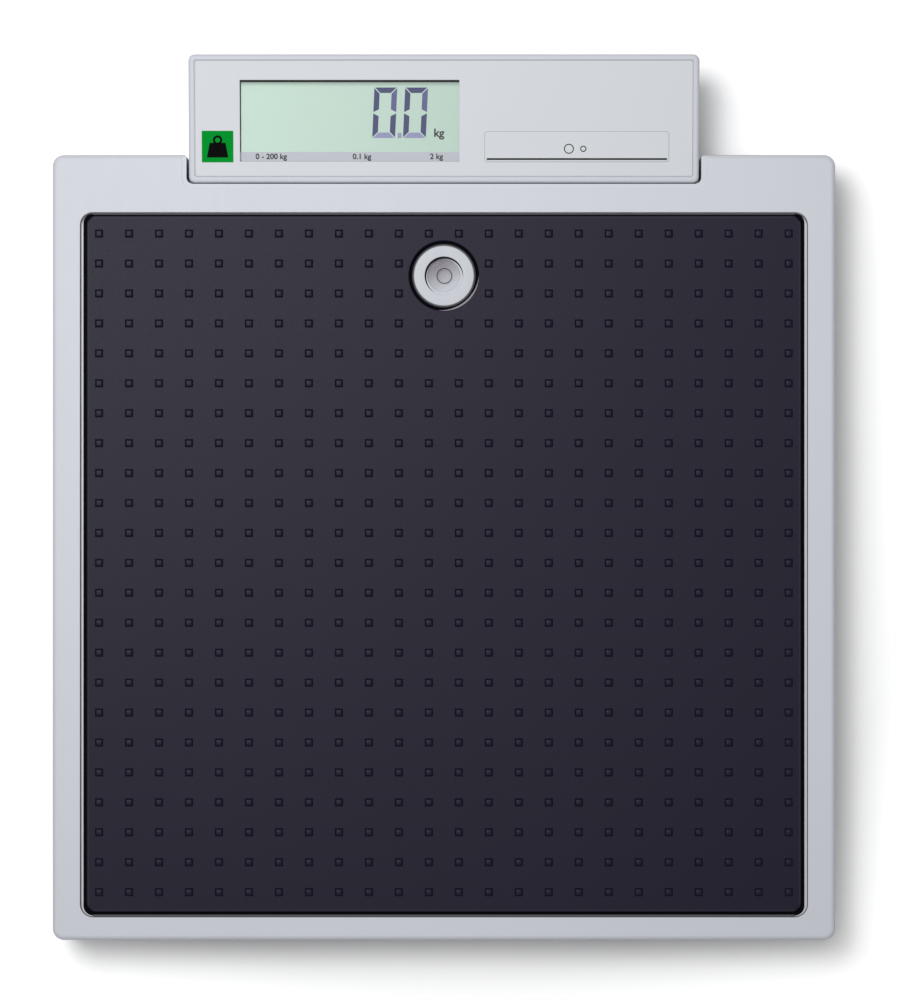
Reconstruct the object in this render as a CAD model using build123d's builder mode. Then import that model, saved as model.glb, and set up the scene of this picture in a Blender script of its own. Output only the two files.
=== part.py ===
from build123d import *
import os
from math import atan, cos, degrees, hypot, radians, sin

# Flat bathroom scale with a tilted display head behind the platform, in millimetres.
# The origin is on the floor under the middle of the outline. +Y points to the display, +Z up.

os.makedirs("parts", exist_ok=True)

# Small and hidden round forms are many-sided, to keep the model light
hole_sides = 12
pin_sides = 12
screw_sides = 8
cell_sides = 16
pad_sides = 24
level_sides = 36

# Overall sizes
body_width = 315.0
body_depth = 316.0
head_reach = 40.0
overall_height = 60.0
platform_height = 53.5
skirt_height = 16.0
overrun = 2.0

front_y = -(body_depth + head_reach) / 2
rear_y = front_y + body_depth
body_y = (front_y + rear_y) / 2
corners = {
    "front_left": (-1, -1),
    "front_right": (1, -1),
    "rear_left": (-1, 1),
    "rear_right": (1, 1),
}

# Platform cover: a moulded skirt and top with a recess for the mat
corner_radius = 4.5
top_edge_radius = 2.0
cover_wall = 2.6
recess_side_band = 11.1
recess_front_band = 9.5
recess_rear_band = 23.1
recess_depth = 1.6
recess_corner_radius = 5.0
recess_floor = 2.6
corner_block = 15.0
block_clearance = 0.3
screw_inset = 8.0

recess_width = body_width - 2 * recess_side_band
recess_length = body_depth - recess_front_band - recess_rear_band
recess_y = front_y + recess_front_band + recess_length / 2
recess_top = platform_height - recess_depth
carrier_top = recess_top - recess_floor

# Display head, seen from above, with its top sloping down towards the platform
head_width = 205.2
head_depth = 51.3
head_tilt = 7.0
head_bottom = 27.0
head_rear_edge = 36.0
head_heel = 10.0
head_wall = 2.2
head_corner_radius = 2.5
head_edge_radius = 1.4
head_split_depth = 14.0
head_side_gap = 1.0
head_front_gap = 0.35

head_rear_y = rear_y + head_reach
head_front_y = head_rear_y - head_depth
tilt = radians(head_tilt)
head_face_length = head_depth / cos(tilt)
head_plane = Plane(
    origin=(0, head_rear_y, overall_height), x_dir=(1, 0, 0), z_dir=(0, -sin(tilt), cos(tilt))
)

# Notch in the platform that the head stands in, with a lowered border
notch_width = head_width + 2 * head_side_gap
notch_front_y = head_front_y - head_front_gap
notch_depth = rear_y - notch_front_y
notch_corner_radius = 2.6
notch_mouth_radius = 1.2
notch_border = 1.8
notch_border_drop = 0.4

# Rubber mat in the recess
mat_gap = 1.3
mat_thickness = 2.0
mat_corner_radius = 4.0
mat_edge_chamfer = 0.7
level_hole_radius = 13.8

mat_width = recess_width - 2 * mat_gap
mat_length = recess_length - 2 * mat_gap

# Raised square studs in rows and columns; the solid has every second one each way
stud_pitch = 12.07
stud_margin = 6.0
stud_base = 3.2
stud_top = 2.2
stud_height = 0.8
stud_row_shift = 0.6
stud_step = 2

stud_columns = int((mat_width - 2 * stud_margin) / stud_pitch) + 1
stud_rows = int((mat_length - 2 * stud_margin) / stud_pitch) + 1
stud_taper = degrees(atan((stud_base - stud_top) / 2 / stud_height))
stud_clear = level_hole_radius + stud_base * sin(radians(45))

# Spirit level on the centre line, near the display
level_from_rear = 48.7
level_ring_radius = 13.1
level_ring_height = 2.3
level_ring_chamfer = 0.8
level_barrel_radius = 10.8
level_barrel_depth = 7.5
level_floor = 1.5
level_fit = 0.2
vial_radius = 7.7
vial_drop = 0.9
vial_wall = 0.9
vial_roof = 1.2

level_y = rear_y - level_from_rear

# Steel carrier plate that takes the load under the cover
carrier_thickness = 2.0
carrier_flange = 12.0
carrier_gap = 4.0
carrier_front_corner = 24.0
carrier_rear_corner = 12.0
bead_width = 8.0
bead_depth = 1.0
bead_inset = 26.0
bead_pitch = 32.0
bead_count = 4
bead_y = -60.0

carrier_bottom = carrier_top - carrier_thickness
carrier_width = body_width - 2 * (cover_wall + carrier_gap)
carrier_front_y = front_y + cover_wall + carrier_gap
carrier_rear_y = notch_front_y - cover_wall - carrier_gap
carrier_length = carrier_rear_y - carrier_front_y
carrier_y = (carrier_front_y + carrier_rear_y) / 2

# Levelling feet: a thumb wheel with a moulded stud, turning in a rubber pad
foot_inset = 32.0
pad_radius = 14.0
pad_height = 8.5
peg_radius = 3.5
peg_length = 5.0
peg_clearance = 0.05
peg_end_gap = 0.3
wheel_radius = 15.0
wheel_height = 6.0
wheel_notches = 14
wheel_notch_depth = 1.8
wheel_crest_share = 0.22
stud_screw_radius = 4.0
stud_screw_clearance = 0.05
stud_screw_end_gap = 1.0

foot_x = body_width / 2 - foot_inset
foot_y = {-1: front_y + foot_inset, 1: rear_y - foot_inset}
wheel_bottom = pad_height
wheel_outline = []
for notch in range(wheel_notches):
    for turn_share, reach in (
        (-wheel_crest_share, wheel_radius),
        (wheel_crest_share, wheel_radius),
        (1 / 2, wheel_radius - wheel_notch_depth),
    ):
        turn = radians(360) * (notch + turn_share) / wheel_notches
        wheel_outline.append((reach * cos(turn), reach * sin(turn)))

# Load cells: bending beams with a relieved middle, fixed at one end, on a foot at the other
cell_length = 76.0
cell_width = 20.0
cell_height = 12.0
cell_tip = 9.0
cell_step_length = 24.0
cell_step_height = 3.0
cell_relief_length = 23.0
cell_relief_height = 7.0
cell_relief_from_tip = 34.0
gauge_length = 20.0
gauge_width = 14.0
gauge_thickness = 1.0

cell_top = carrier_bottom - cell_step_height
cell_bottom = cell_top - cell_height
cell_end_x = foot_x + cell_tip - cell_length

# Bottom tray, set a little above the skirt's lower edge
tray_rise = 1.0
tray_wall = 2.2
tray_fit = 0.3
tray_rim_height = 8.0
tray_rim_wall = 1.4
tray_post = 13.0
tray_foot_opening = 18.0
prop_radius = 5.0
prop_share_x = 0.70
prop_shares_y = [-0.46, 0.16, 0.62]

tray_bottom = skirt_height + tray_rise
tray_top = tray_bottom + tray_wall
post_top = tray_top + tray_rim_height
block_bottom = post_top + block_clearance

# Case screws: hexagon heads in deep holes
screw_radius = 2.0
screw_clearance = 0.05
screw_hole_gap = 0.3
screw_head_radius = 4.0
screw_head_height = 2.6
screw_recess_radius = 4.6
screw_recess_depth = 6.0
screw_length = 16.0
screw_pilot_spare = 1.5

screw_x = body_width / 2 - cover_wall - screw_inset
screw_y = {-1: front_y + cover_wall + screw_inset, 1: rear_y - cover_wall - screw_inset}
screw_places = [(sx * screw_x, screw_y[sy]) for sx, sy in corners.values()]
screw_seat = tray_bottom + screw_recess_depth

# Battery bay, opened from below by a lid that hooks in at the rear
cell_count = 4
battery_radius = 7.25
battery_body = 49.3
battery_nub_radius = 2.75
battery_nub = 1.2
battery_pitch = 15.0
battery_clearance = 0.1
bay_from_front = 83.0
bay_side_gap = 0.5
bay_spring_room = 4.0
contact_thickness = 0.5
contact_height = 11.0
contact_width = 9.0
spring_thickness = 0.5
spring_width = 6.0
box_wall = 1.6
box_flange = 5.0
box_floor_gap = 0.8
lid_fit = 0.3
lid_step = 1.5
lid_hinge_room = 5.4
lid_tab_width = 10.0
lid_tab_thickness = 1.5
lid_tab_reach = 3.0
lid_tab_root = 2.4
lid_tab_gap = 0.2
lid_grip_width = 16.0
lid_grip_length = 9.0
lid_grip_depth = 1.2

bay_y = front_y + bay_from_front
bay_width = cell_count * battery_pitch + 2 * bay_side_gap
bay_length = battery_body + battery_nub + bay_spring_room + 2 * contact_thickness
battery_bottom = tray_top + box_floor_gap
battery_z = battery_bottom + battery_radius
bay_roof = battery_z + battery_radius + battery_clearance
bay_front_y = bay_y - bay_length / 2
bay_rear_y = bay_y + bay_length / 2
hatch_front_y = bay_front_y - lid_step
hatch_rear_y = bay_rear_y + box_wall + lid_hinge_room
hatch_width = bay_width + 2 * lid_step
hatch_length = hatch_rear_y - hatch_front_y
hatch_y = (hatch_front_y + hatch_rear_y) / 2
lid_pivot_y = hatch_rear_y - lid_fit - tray_wall / 2
lid_pivot_z = tray_bottom + tray_wall / 2

# Main board on props in the tray, with the unit switch on its underside
board_side_margin = 8.0
board_length = 58.0
board_thickness = 1.6
board_y = 0.0
board_prop = 10.0
board_prop_side = 6.0
board_prop_inset = 6.0
plug_width = 9.0
plug_length = 6.0
plug_height = 8.0
shield_width = 36.0
shield_length = 26.0
shield_height = 4.0
switch_from_side = 22.0
switch_y = -14.0
switch_body_x = 12.0
switch_body_y = 5.0
switch_body_z = 7.0
switch_travel = 3.0
switch_slot_depth = 1.4
switch_fit = 0.3
knob_side = 3.2
knob_tongue = 1.6
knob_tongue_height = 1.2
knob_set_back = 0.4

# Flat leads between the cells, the batteries and the boards, level with the battery box's top
lead_width = 3.2
lead_thickness = 1.0
lead_bend = 10.0
cell_lead_run = 14.5
display_lead_width = 14.0
display_lead_bend = 15.0
display_lead_dip = 20.0
display_lead_gap = 0.3
display_lead_rise = 11.3
display_lead_run = 10.6
battery_lead_x = 6.0
battery_lead_lap = 12.0

cell_lead_x = cell_end_x - cell_lead_run
lead_z = bay_roof + box_wall + lead_thickness / 2
board_width = 2 * (cell_lead_x + board_side_margin)
board_bottom = tray_top + board_prop
board_top = board_bottom + board_thickness
switch_x = board_width / 2 - switch_from_side
knob_top = board_bottom - switch_body_z

# Steel bracket that carries the head
bracket_thickness = 2.0
bracket_width = 80.0
bracket_flange = 12.0
bracket_bottom = 30.0
bracket_reach = 38.0
bracket_window_width = 20.0
bracket_window_height = 9.0
bracket_gap = 0.5
passage_width = 88.0
passage_height = 8.0

bracket_web_y = carrier_rear_y - carrier_thickness
bracket_end_y = head_front_y + bracket_reach
display_lead_z = bracket_bottom + bracket_thickness + display_lead_gap + lead_thickness / 2
passage_bottom = bracket_bottom - bracket_gap

# Front foil, window and display
foil_border = 2.2
foil_recess = 0.45
foil_thickness = 0.25
foil_fit = 0.1
foil_corner_radius = 1.0
window_left = 20.6
window_share = 0.43
window_length = 32.8
window_front = 8.5
window_thickness = 1.0
window_ledge = 2.0
window_fit = 0.1
gasket_thickness = 0.6
gasket_width = 2.0
lcd_side_margin = 3.0
lcd_end_margin = 2.6
lcd_thickness = 2.8
strip_length = 3.75
strip_thickness = 0.2
frame_wall = 2.0
frame_fit = 0.2
contact_strip_height = 2.4
contact_strip_width = 2.4
contact_strip_inset = 1.0
display_board_margin = 14.6
display_board_end_margin = 3.6
head_prop_side = 5.0
head_prop_inset = 4.0

window_width = window_share * head_width
window_x = -head_width / 2 + window_left + window_width / 2
window_y = -head_face_length + window_front + window_length / 2
lcd_top_depth = head_wall + gasket_thickness
lcd_bottom_depth = lcd_top_depth + lcd_thickness
display_board_depth = lcd_bottom_depth + contact_strip_height
display_board_underside = display_board_depth + board_thickness
lcd_width = window_width + 2 * lcd_side_margin
lcd_length = window_length + 2 * lcd_end_margin
display_board_width = head_width - 2 * display_board_margin
display_board_length = head_face_length - 2 * display_board_end_margin
display_board_y = -head_face_length / 2 - display_board_depth * sin(tilt)

# Wide key on the right, over a small switch
key_right = 12.1
key_window_gap = 10.2
key_length = 12.2
key_front = 8.4
key_corner_radius = 1.5
key_thickness = 1.2
key_gap = 0.3
key_travel = 0.5
key_floor_gap = 0.1
key_pad_margin = 2.0
key_pad_thickness = 1.6
key_stem_radius = 2.0
key_stem_clearance = 0.3
button_radius = 1.75
button_height = 0.8
button_sink = 0.6
tact_side = 6.0
tact_height = 3.0
tact_hole_gap = 0.3
tact_hole_depth = 1.3

key_width = head_width - window_left - window_width - key_window_gap - key_right
key_x = head_width / 2 - key_right - key_width / 2
key_y = -head_face_length + key_front + key_length / 2
foil_top_depth = foil_recess - foil_thickness
tact_top_depth = display_board_depth - tact_height

# Pieces on the underside of the display board
buzzer_radius = 5.0
buzzer_height = 3.5
buzzer_share_x = 0.62
chip_side = 12.0
chip_height = 1.5
chip_shares_x = [-0.60, -0.28, 0.30]
socket_width = 16.0
socket_length = 6.0
socket_height = 5.0
socket_from_rear = 16.0
head_screw_inset = 7.0
head_post_side = 12.0
head_screw_recess = 3.0
head_screw_grip = 6.0


def platform_plan(inset):
    """Draws the platform's plan, inset all round, in the sketch that is open."""
    with Locations((0, body_y)):
        Rectangle(body_width - 2 * inset, body_depth - 2 * inset)
    with Locations((0, rear_y)):
        Rectangle(notch_width + 2 * inset, 2 * (notch_depth + inset), mode=Mode.SUBTRACT)


def head_level(depth):
    """Plane of the head's sloping top, lowered by a depth."""
    return head_plane.offset(-depth)


def head_height(along, depth):
    """Height above the floor of a point on the head's slope."""
    return overall_height + along * sin(tilt) - depth * cos(tilt)


def lead_section(path, width, thickness):
    """Draws a flat lead's section at the start of its path."""
    start = Plane(path @ 0, x_dir=(path % 0).cross(Vector(0, 0, 1)), z_dir=path % 0)
    with BuildSketch(start) as section:
        Rectangle(width, thickness)
    return section


# Platform cover
with BuildPart() as platform_cover:
    with BuildSketch(Plane.XY.offset(skirt_height)):
        with Locations((0, body_y)):
            RectangleRounded(body_width, body_depth, corner_radius)
    extrude(amount=platform_height - skirt_height)
    fillet(platform_cover.faces().sort_by(Axis.Z)[-1].edges(), top_edge_radius)
    with BuildSketch(Plane.XY.offset(skirt_height)):
        platform_plan(cover_wall)
    extrude(amount=carrier_top - skirt_height, mode=Mode.SUBTRACT)
    # corner blocks that take the case screws
    with BuildSketch(Plane.XY.offset(carrier_top)):
        for sx, sy in corners.values():
            reach_x = body_width / 2 - cover_wall
            edge_y = front_y + cover_wall if sy < 0 else rear_y - cover_wall
            with Locations((sx * (reach_x - corner_block / 2), edge_y - sy * corner_block / 2)):
                Rectangle(corner_block, corner_block)
    extrude(amount=block_bottom - carrier_top)
    with BuildSketch(Plane.XY.offset(block_bottom)):
        with Locations(*screw_places):
            RegularPolygon(screw_radius + screw_clearance, screw_sides)
    pilot = screw_seat + screw_length + screw_pilot_spare - block_bottom
    extrude(amount=pilot, mode=Mode.SUBTRACT)
    # lowered border and notch
    with BuildSketch(Plane.XY.offset(platform_height)):
        with Locations((0, rear_y)):
            border_width = notch_width + 2 * notch_border
            border_depth = notch_depth + notch_border
            RectangleRounded(border_width, 2 * border_depth, notch_corner_radius + notch_border)
    extrude(amount=-notch_border_drop, mode=Mode.SUBTRACT)
    with BuildSketch(Plane.XY.offset(skirt_height)):
        with Locations((0, rear_y)):
            RectangleRounded(notch_width, 2 * notch_depth, notch_corner_radius)
        for side in (-1, 1):
            mouth_x = side * (notch_width / 2 + notch_mouth_radius)
            with Locations((side * notch_width / 2, rear_y)):
                Rectangle(2 * notch_mouth_radius, 2 * notch_mouth_radius)
            with Locations((mouth_x, rear_y - notch_mouth_radius)):
                Circle(notch_mouth_radius, mode=Mode.SUBTRACT)
    extrude(amount=platform_height - skirt_height, mode=Mode.SUBTRACT)
    # recess for the mat, and the level's hole in its floor
    with BuildSketch(Plane.XY.offset(platform_height)):
        with Locations((0, recess_y)):
            RectangleRounded(recess_width, recess_length, recess_corner_radius)
    extrude(amount=-recess_depth, mode=Mode.SUBTRACT)
    with BuildSketch(Plane.XY.offset(recess_top)):
        with Locations((0, level_y)):
            Circle(level_barrel_radius + level_fit)
    extrude(amount=-recess_floor, mode=Mode.SUBTRACT)
    # passage for the bracket and the display's lead
    with BuildSketch(Plane.XY.offset(passage_bottom)):
        with Locations((0, notch_front_y - cover_wall / 2)):
            Rectangle(passage_width, cover_wall + 2 * overrun)
    extrude(amount=passage_height, mode=Mode.SUBTRACT)
platform_cover.part.label = "platform_cover"
export_step(platform_cover.part, "parts/platform_cover.step")

# Rubber mat with its studs, and the hole for the level
with BuildPart() as stud:
    with BuildSketch(Plane.XY.offset(recess_top + mat_thickness)):
        Rectangle(stud_base, stud_base)
    extrude(amount=stud_height, taper=stud_taper)
stud_places = []
for column in range(0, stud_columns, stud_step):
    for row in range(0, stud_rows, stud_step):
        stud_x = (column - (stud_columns - 1) / 2) * stud_pitch
        stud_y = recess_y + stud_row_shift + (row - (stud_rows - 1) / 2) * stud_pitch
        if hypot(stud_x, stud_y - level_y) > stud_clear:
            stud_places.append((stud_x, stud_y))
with BuildPart() as tread_mat:
    with BuildSketch(Plane.XY.offset(recess_top)):
        with Locations((0, recess_y)):
            RectangleRounded(mat_width, mat_length, mat_corner_radius)
    extrude(amount=mat_thickness)
    chamfer(tread_mat.faces().sort_by(Axis.Z)[-1].edges(), mat_edge_chamfer)
    with BuildSketch(Plane.XY.offset(recess_top)):
        with Locations((0, level_y)):
            Circle(level_hole_radius)
    extrude(amount=mat_thickness, mode=Mode.SUBTRACT)
    with Locations(*stud_places):
        add(stud.part)
tread_mat.part.label = "tread_mat"
export_step(tread_mat.part, "parts/tread_mat.step")

# Spirit level: a ring-shaped cup, a clear vial and the liquid in it
with BuildPart() as level_cup:
    with BuildSketch(Plane.XY.offset(recess_top)):
        with Locations((0, level_y)):
            RegularPolygon(level_ring_radius, level_sides)
    extrude(amount=level_ring_height)
    chamfer(level_cup.edges().group_by(Axis.Z)[-1], level_ring_chamfer)
    with BuildSketch(Plane.XY.offset(recess_top)):
        with Locations((0, level_y)):
            RegularPolygon(level_barrel_radius, level_sides)
    extrude(amount=-level_barrel_depth)
    with BuildSketch(Plane.XY.offset(recess_top - level_barrel_depth + level_floor)):
        with Locations((0, level_y)):
            RegularPolygon(vial_radius, level_sides)
    extrude(amount=level_ring_height + level_barrel_depth, mode=Mode.SUBTRACT)
level_cup.part.label = "level_cup"
export_step(level_cup.part, "parts/level_cup.step")

vial_bottom = recess_top - level_barrel_depth + level_floor
vial_top = recess_top + level_ring_height - vial_drop
with BuildPart() as level_vial:
    with BuildSketch(Plane.XY.offset(vial_bottom)):
        with Locations((0, level_y)):
            RegularPolygon(vial_radius, level_sides)
    extrude(amount=vial_top - vial_bottom)
    with BuildSketch(Plane.XY.offset(vial_bottom)):
        with Locations((0, level_y)):
            RegularPolygon(vial_radius - vial_wall, level_sides)
    extrude(amount=vial_top - vial_bottom - vial_roof, mode=Mode.SUBTRACT)
level_vial.part.label = "level_vial"
export_step(level_vial.part, "parts/level_vial.step")

with BuildPart() as level_liquid:
    with BuildSketch(Plane.XY.offset(vial_bottom)):
        with Locations((0, level_y)):
            RegularPolygon(vial_radius - vial_wall, level_sides)
    extrude(amount=vial_top - vial_bottom - vial_roof)
level_liquid.part.label = "level_liquid"
export_step(level_liquid.part, "parts/level_liquid.step")

# Carrier plate: a shallow steel pan, open below, with pressed beads
with BuildPart() as carrier_plate:
    with BuildSketch(Plane.XY.offset(carrier_top)) as carrier_plan:
        with Locations((0, carrier_y)):
            Rectangle(carrier_width, carrier_length)
        chamfer(carrier_plan.vertices().sort_by(Axis.Y)[:2], carrier_front_corner)
        chamfer(carrier_plan.vertices().sort_by(Axis.Y)[-2:], carrier_rear_corner)
    extrude(amount=-carrier_flange)
    with BuildSketch(Plane.XY.offset(carrier_bottom)) as carrier_hollow:
        with Locations((0, carrier_y)):
            Rectangle(carrier_width, carrier_length)
        chamfer(carrier_hollow.vertices().sort_by(Axis.Y)[:2], carrier_front_corner)
        chamfer(carrier_hollow.vertices().sort_by(Axis.Y)[-2:], carrier_rear_corner)
        offset(amount=-carrier_thickness, kind=Kind.INTERSECTION)
    extrude(amount=-carrier_flange, mode=Mode.SUBTRACT)
    with BuildSketch(Plane.XY.offset(carrier_top)):
        with Locations((0, level_y)):
            Circle(level_barrel_radius + level_fit)
    extrude(amount=-carrier_thickness, mode=Mode.SUBTRACT)
    bead_length = carrier_width - 2 * bead_inset
    bead_places = [
        (0, bead_y + (bead - (bead_count - 1) / 2) * bead_pitch) for bead in range(bead_count)
    ]
    with BuildSketch(Plane.XY.offset(carrier_bottom)):
        with Locations(*bead_places):
            Rectangle(bead_length, bead_width)
    extrude(amount=-bead_depth)
    with BuildSketch(Plane.XY.offset(carrier_top)):
        with Locations(*bead_places):
            Rectangle(bead_length - 2 * bead_depth, bead_width - 2 * bead_depth)
    extrude(amount=-bead_depth, mode=Mode.SUBTRACT)
carrier_plate.part.label = "carrier_plate"
export_step(carrier_plate.part, "parts/carrier_plate.step")

# Load cells, one a corner: each beam's free end has the thread for its foot
for corner, (sx, sy) in corners.items():
    tip_x = sx * (foot_x + cell_tip)
    with BuildPart() as load_cell:
        with BuildSketch(Plane.XY.offset(cell_bottom)):
            with Locations((tip_x - sx * cell_length / 2, foot_y[sy])):
                Rectangle(cell_length, cell_width)
        extrude(amount=cell_height)
        with BuildSketch(Plane.XY.offset(cell_top)):
            with Locations((sx * (cell_end_x + cell_step_length / 2), foot_y[sy])):
                Rectangle(cell_step_length, cell_width)
        extrude(amount=cell_step_height)
        relief_x = tip_x - sx * cell_relief_from_tip
        relief_plane = Plane(
            origin=(relief_x, foot_y[sy], cell_bottom + cell_height / 2),
            x_dir=(1, 0, 0),
            z_dir=(0, -1, 0),
        )
        with BuildSketch(relief_plane):
            Rectangle(cell_relief_length, cell_relief_height)
        extrude(amount=cell_width / 2, both=True, mode=Mode.SUBTRACT)
        with BuildSketch(Plane.XY.offset(cell_bottom)):
            with Locations((sx * foot_x, foot_y[sy])):
                hole_radius = stud_screw_radius + stud_screw_clearance
                RegularPolygon(hole_radius, hole_sides, major_radius=False)
        extrude(amount=cell_height, mode=Mode.SUBTRACT)
    load_cell.part.label = f"load_cell_{corner}"
    export_step(load_cell.part, f"parts/load_cell_{corner}.step")

with BuildPart() as gauge_covers:
    for height, direction in ((cell_top, 1), (cell_bottom, -1)):
        with BuildSketch(Plane.XY.offset(height)):
            for sx, sy in corners.values():
                with Locations((sx * (foot_x + cell_tip - cell_relief_from_tip), foot_y[sy])):
                    Rectangle(gauge_length, gauge_width)
        extrude(amount=direction * gauge_thickness)
gauge_covers.part.label = "gauge_covers"
export_step(gauge_covers.part, "parts/gauge_covers.step")

# Levelling feet
for corner, (sx, sy) in corners.items():
    with BuildPart() as foot_pad:
        with BuildSketch(Plane.XY):
            with Locations((sx * foot_x, foot_y[sy])):
                RegularPolygon(pad_radius, pad_sides)
        extrude(amount=pad_height)
        with BuildSketch(Plane.XY.offset(pad_height)):
            with Locations((sx * foot_x, foot_y[sy])):
                RegularPolygon(peg_radius + peg_clearance, hole_sides, major_radius=False)
        extrude(amount=-(peg_length + peg_end_gap), mode=Mode.SUBTRACT)
    foot_pad.part.label = f"foot_pad_{corner}"
    export_step(foot_pad.part, f"parts/foot_pad_{corner}.step")

    with BuildPart() as foot_screw:
        with BuildSketch(Plane.XY.offset(wheel_bottom)):
            with Locations((sx * foot_x, foot_y[sy])):
                Polygon(*wheel_outline, align=None)
        extrude(amount=wheel_height)
        with BuildSketch(Plane.XY.offset(wheel_bottom)):
            with Locations((sx * foot_x, foot_y[sy])):
                RegularPolygon(peg_radius, pin_sides)
        extrude(amount=-peg_length)
        stud_screw_top = cell_top - stud_screw_end_gap
        with BuildSketch(Plane.XY.offset(wheel_bottom + wheel_height)):
            with Locations((sx * foot_x, foot_y[sy])):
                RegularPolygon(stud_screw_radius, pin_sides)
        extrude(amount=stud_screw_top - wheel_bottom - wheel_height)
    foot_screw.part.label = f"foot_screw_{corner}"
    export_step(foot_screw.part, f"parts/foot_screw_{corner}.step")

# Bottom tray, with its rim, corner posts and props, and openings for feet, batteries and switch
prop_places = [
    (side * prop_share_x * body_width / 2, body_y + share * body_depth / 2)
    for share in prop_shares_y
    for side in (-1, 1)
]
with BuildPart() as base_tray:
    with BuildSketch(Plane.XY.offset(tray_bottom)):
        platform_plan(cover_wall + tray_fit)
    extrude(amount=tray_wall + tray_rim_height)
    with BuildSketch(Plane.XY.offset(tray_top)):
        platform_plan(cover_wall + tray_fit + tray_rim_wall)
    extrude(amount=tray_rim_height, mode=Mode.SUBTRACT)
    with BuildSketch(Plane.XY.offset(tray_top)):
        with Locations(*screw_places):
            Rectangle(tray_post, tray_post)
    extrude(amount=tray_rim_height)
    with BuildSketch(Plane.XY.offset(tray_top)):
        with Locations(*prop_places):
            RegularPolygon(prop_radius, 6)
    extrude(amount=carrier_bottom - tray_top)
    with BuildSketch(Plane.XY.offset(tray_top)):
        for sx, sy in corners.values():
            prop_x = sx * (board_width / 2 - board_prop_inset)
            prop_y = board_y + sy * (board_length / 2 - board_prop_inset)
            with Locations((prop_x, prop_y)):
                Rectangle(board_prop_side, board_prop_side)
    extrude(amount=board_prop)
    with BuildSketch(Plane.XY.offset(tray_bottom)):
        for sx, sy in corners.values():
            with Locations((sx * foot_x, foot_y[sy])):
                Rectangle(tray_foot_opening, tray_foot_opening)
        with Locations((0, hatch_y)):
            Rectangle(hatch_width, hatch_length)
        with Locations((switch_x + switch_travel / 2, switch_y)):
            Rectangle(knob_side + switch_travel + 2 * switch_fit, knob_side + 2 * switch_fit)
    extrude(amount=tray_wall, mode=Mode.SUBTRACT)
    with BuildSketch(Plane.XY.offset(tray_bottom)):
        with Locations(*screw_places):
            RegularPolygon(screw_recess_radius, hole_sides)
    extrude(amount=screw_recess_depth, mode=Mode.SUBTRACT)
    with BuildSketch(Plane.XY.offset(screw_seat)):
        with Locations(*screw_places):
            RegularPolygon(screw_radius + screw_hole_gap, hole_sides)
    extrude(amount=post_top - screw_seat, mode=Mode.SUBTRACT)
base_tray.part.label = "base_tray"
export_step(base_tray.part, "parts/base_tray.step")

with BuildPart() as cover_screws:
    with BuildSketch(Plane.XY.offset(screw_seat)):
        with Locations(*screw_places):
            RegularPolygon(screw_head_radius, 6)
    extrude(amount=-screw_head_height)
    with BuildSketch(Plane.XY.offset(screw_seat)):
        with Locations(*screw_places):
            RegularPolygon(screw_radius, screw_sides)
    extrude(amount=screw_length)
cover_screws.part.label = "cover_screws"
export_step(cover_screws.part, "parts/cover_screws.step")

# Battery box, open below, standing on the tray round the hatch
with BuildPart() as battery_box:
    box_rear_y = bay_rear_y + box_wall
    box_front_y = bay_front_y - box_wall
    flange_front_y = box_front_y - box_flange
    with BuildSketch(Plane.XY.offset(tray_top)):
        with Locations((0, (box_front_y + box_rear_y) / 2)):
            Rectangle(bay_width + 2 * box_wall, box_rear_y - box_front_y)
    extrude(amount=bay_roof + box_wall - tray_top)
    with BuildSketch(Plane.XY.offset(tray_top)):
        with Locations((0, (flange_front_y + box_rear_y) / 2)):
            Rectangle(bay_width + 2 * (box_wall + box_flange), box_rear_y - flange_front_y)
    extrude(amount=box_wall)
    with BuildSketch(Plane.XY.offset(tray_top)):
        with Locations((0, bay_y)):
            Rectangle(bay_width, bay_length)
    extrude(amount=bay_roof - tray_top, mode=Mode.SUBTRACT)
battery_box.part.label = "battery_box"
export_step(battery_box.part, "parts/battery_box.step")

# Cells alternate end for end; a leaf spring presses each one's flat end
cell_ways = [1 if cell % 2 == 0 else -1 for cell in range(cell_count)]
cell_xs = [(cell - (cell_count - 1) / 2) * battery_pitch for cell in range(cell_count)]
with BuildPart() as battery_cells:
    for way, cell_x in zip(cell_ways, cell_xs):
        nub_end_y = bay_y + way * (bay_length / 2 - contact_thickness)
        nub_plane = Plane(origin=(cell_x, nub_end_y, battery_z), z_dir=(0, -way, 0))
        with BuildSketch(nub_plane):
            RegularPolygon(battery_nub_radius, pin_sides)
        extrude(amount=battery_nub)
        with BuildSketch(nub_plane.offset(battery_nub)):
            RegularPolygon(battery_radius, cell_sides)
        extrude(amount=battery_body)
battery_cells.part.label = "battery_cells"
export_step(battery_cells.part, "parts/battery_cells.step")

with BuildPart() as battery_contacts:
    for way, cell_x in zip(cell_ways, cell_xs):
        for end in (-1, 1):
            plate_y = bay_y + end * (bay_length / 2 - contact_thickness / 2)
            with Locations((cell_x, plate_y, battery_z)):
                Box(contact_width, contact_thickness, contact_height)
battery_contacts.part.label = "battery_contacts"
export_step(battery_contacts.part, "parts/battery_contacts.step")

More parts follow.
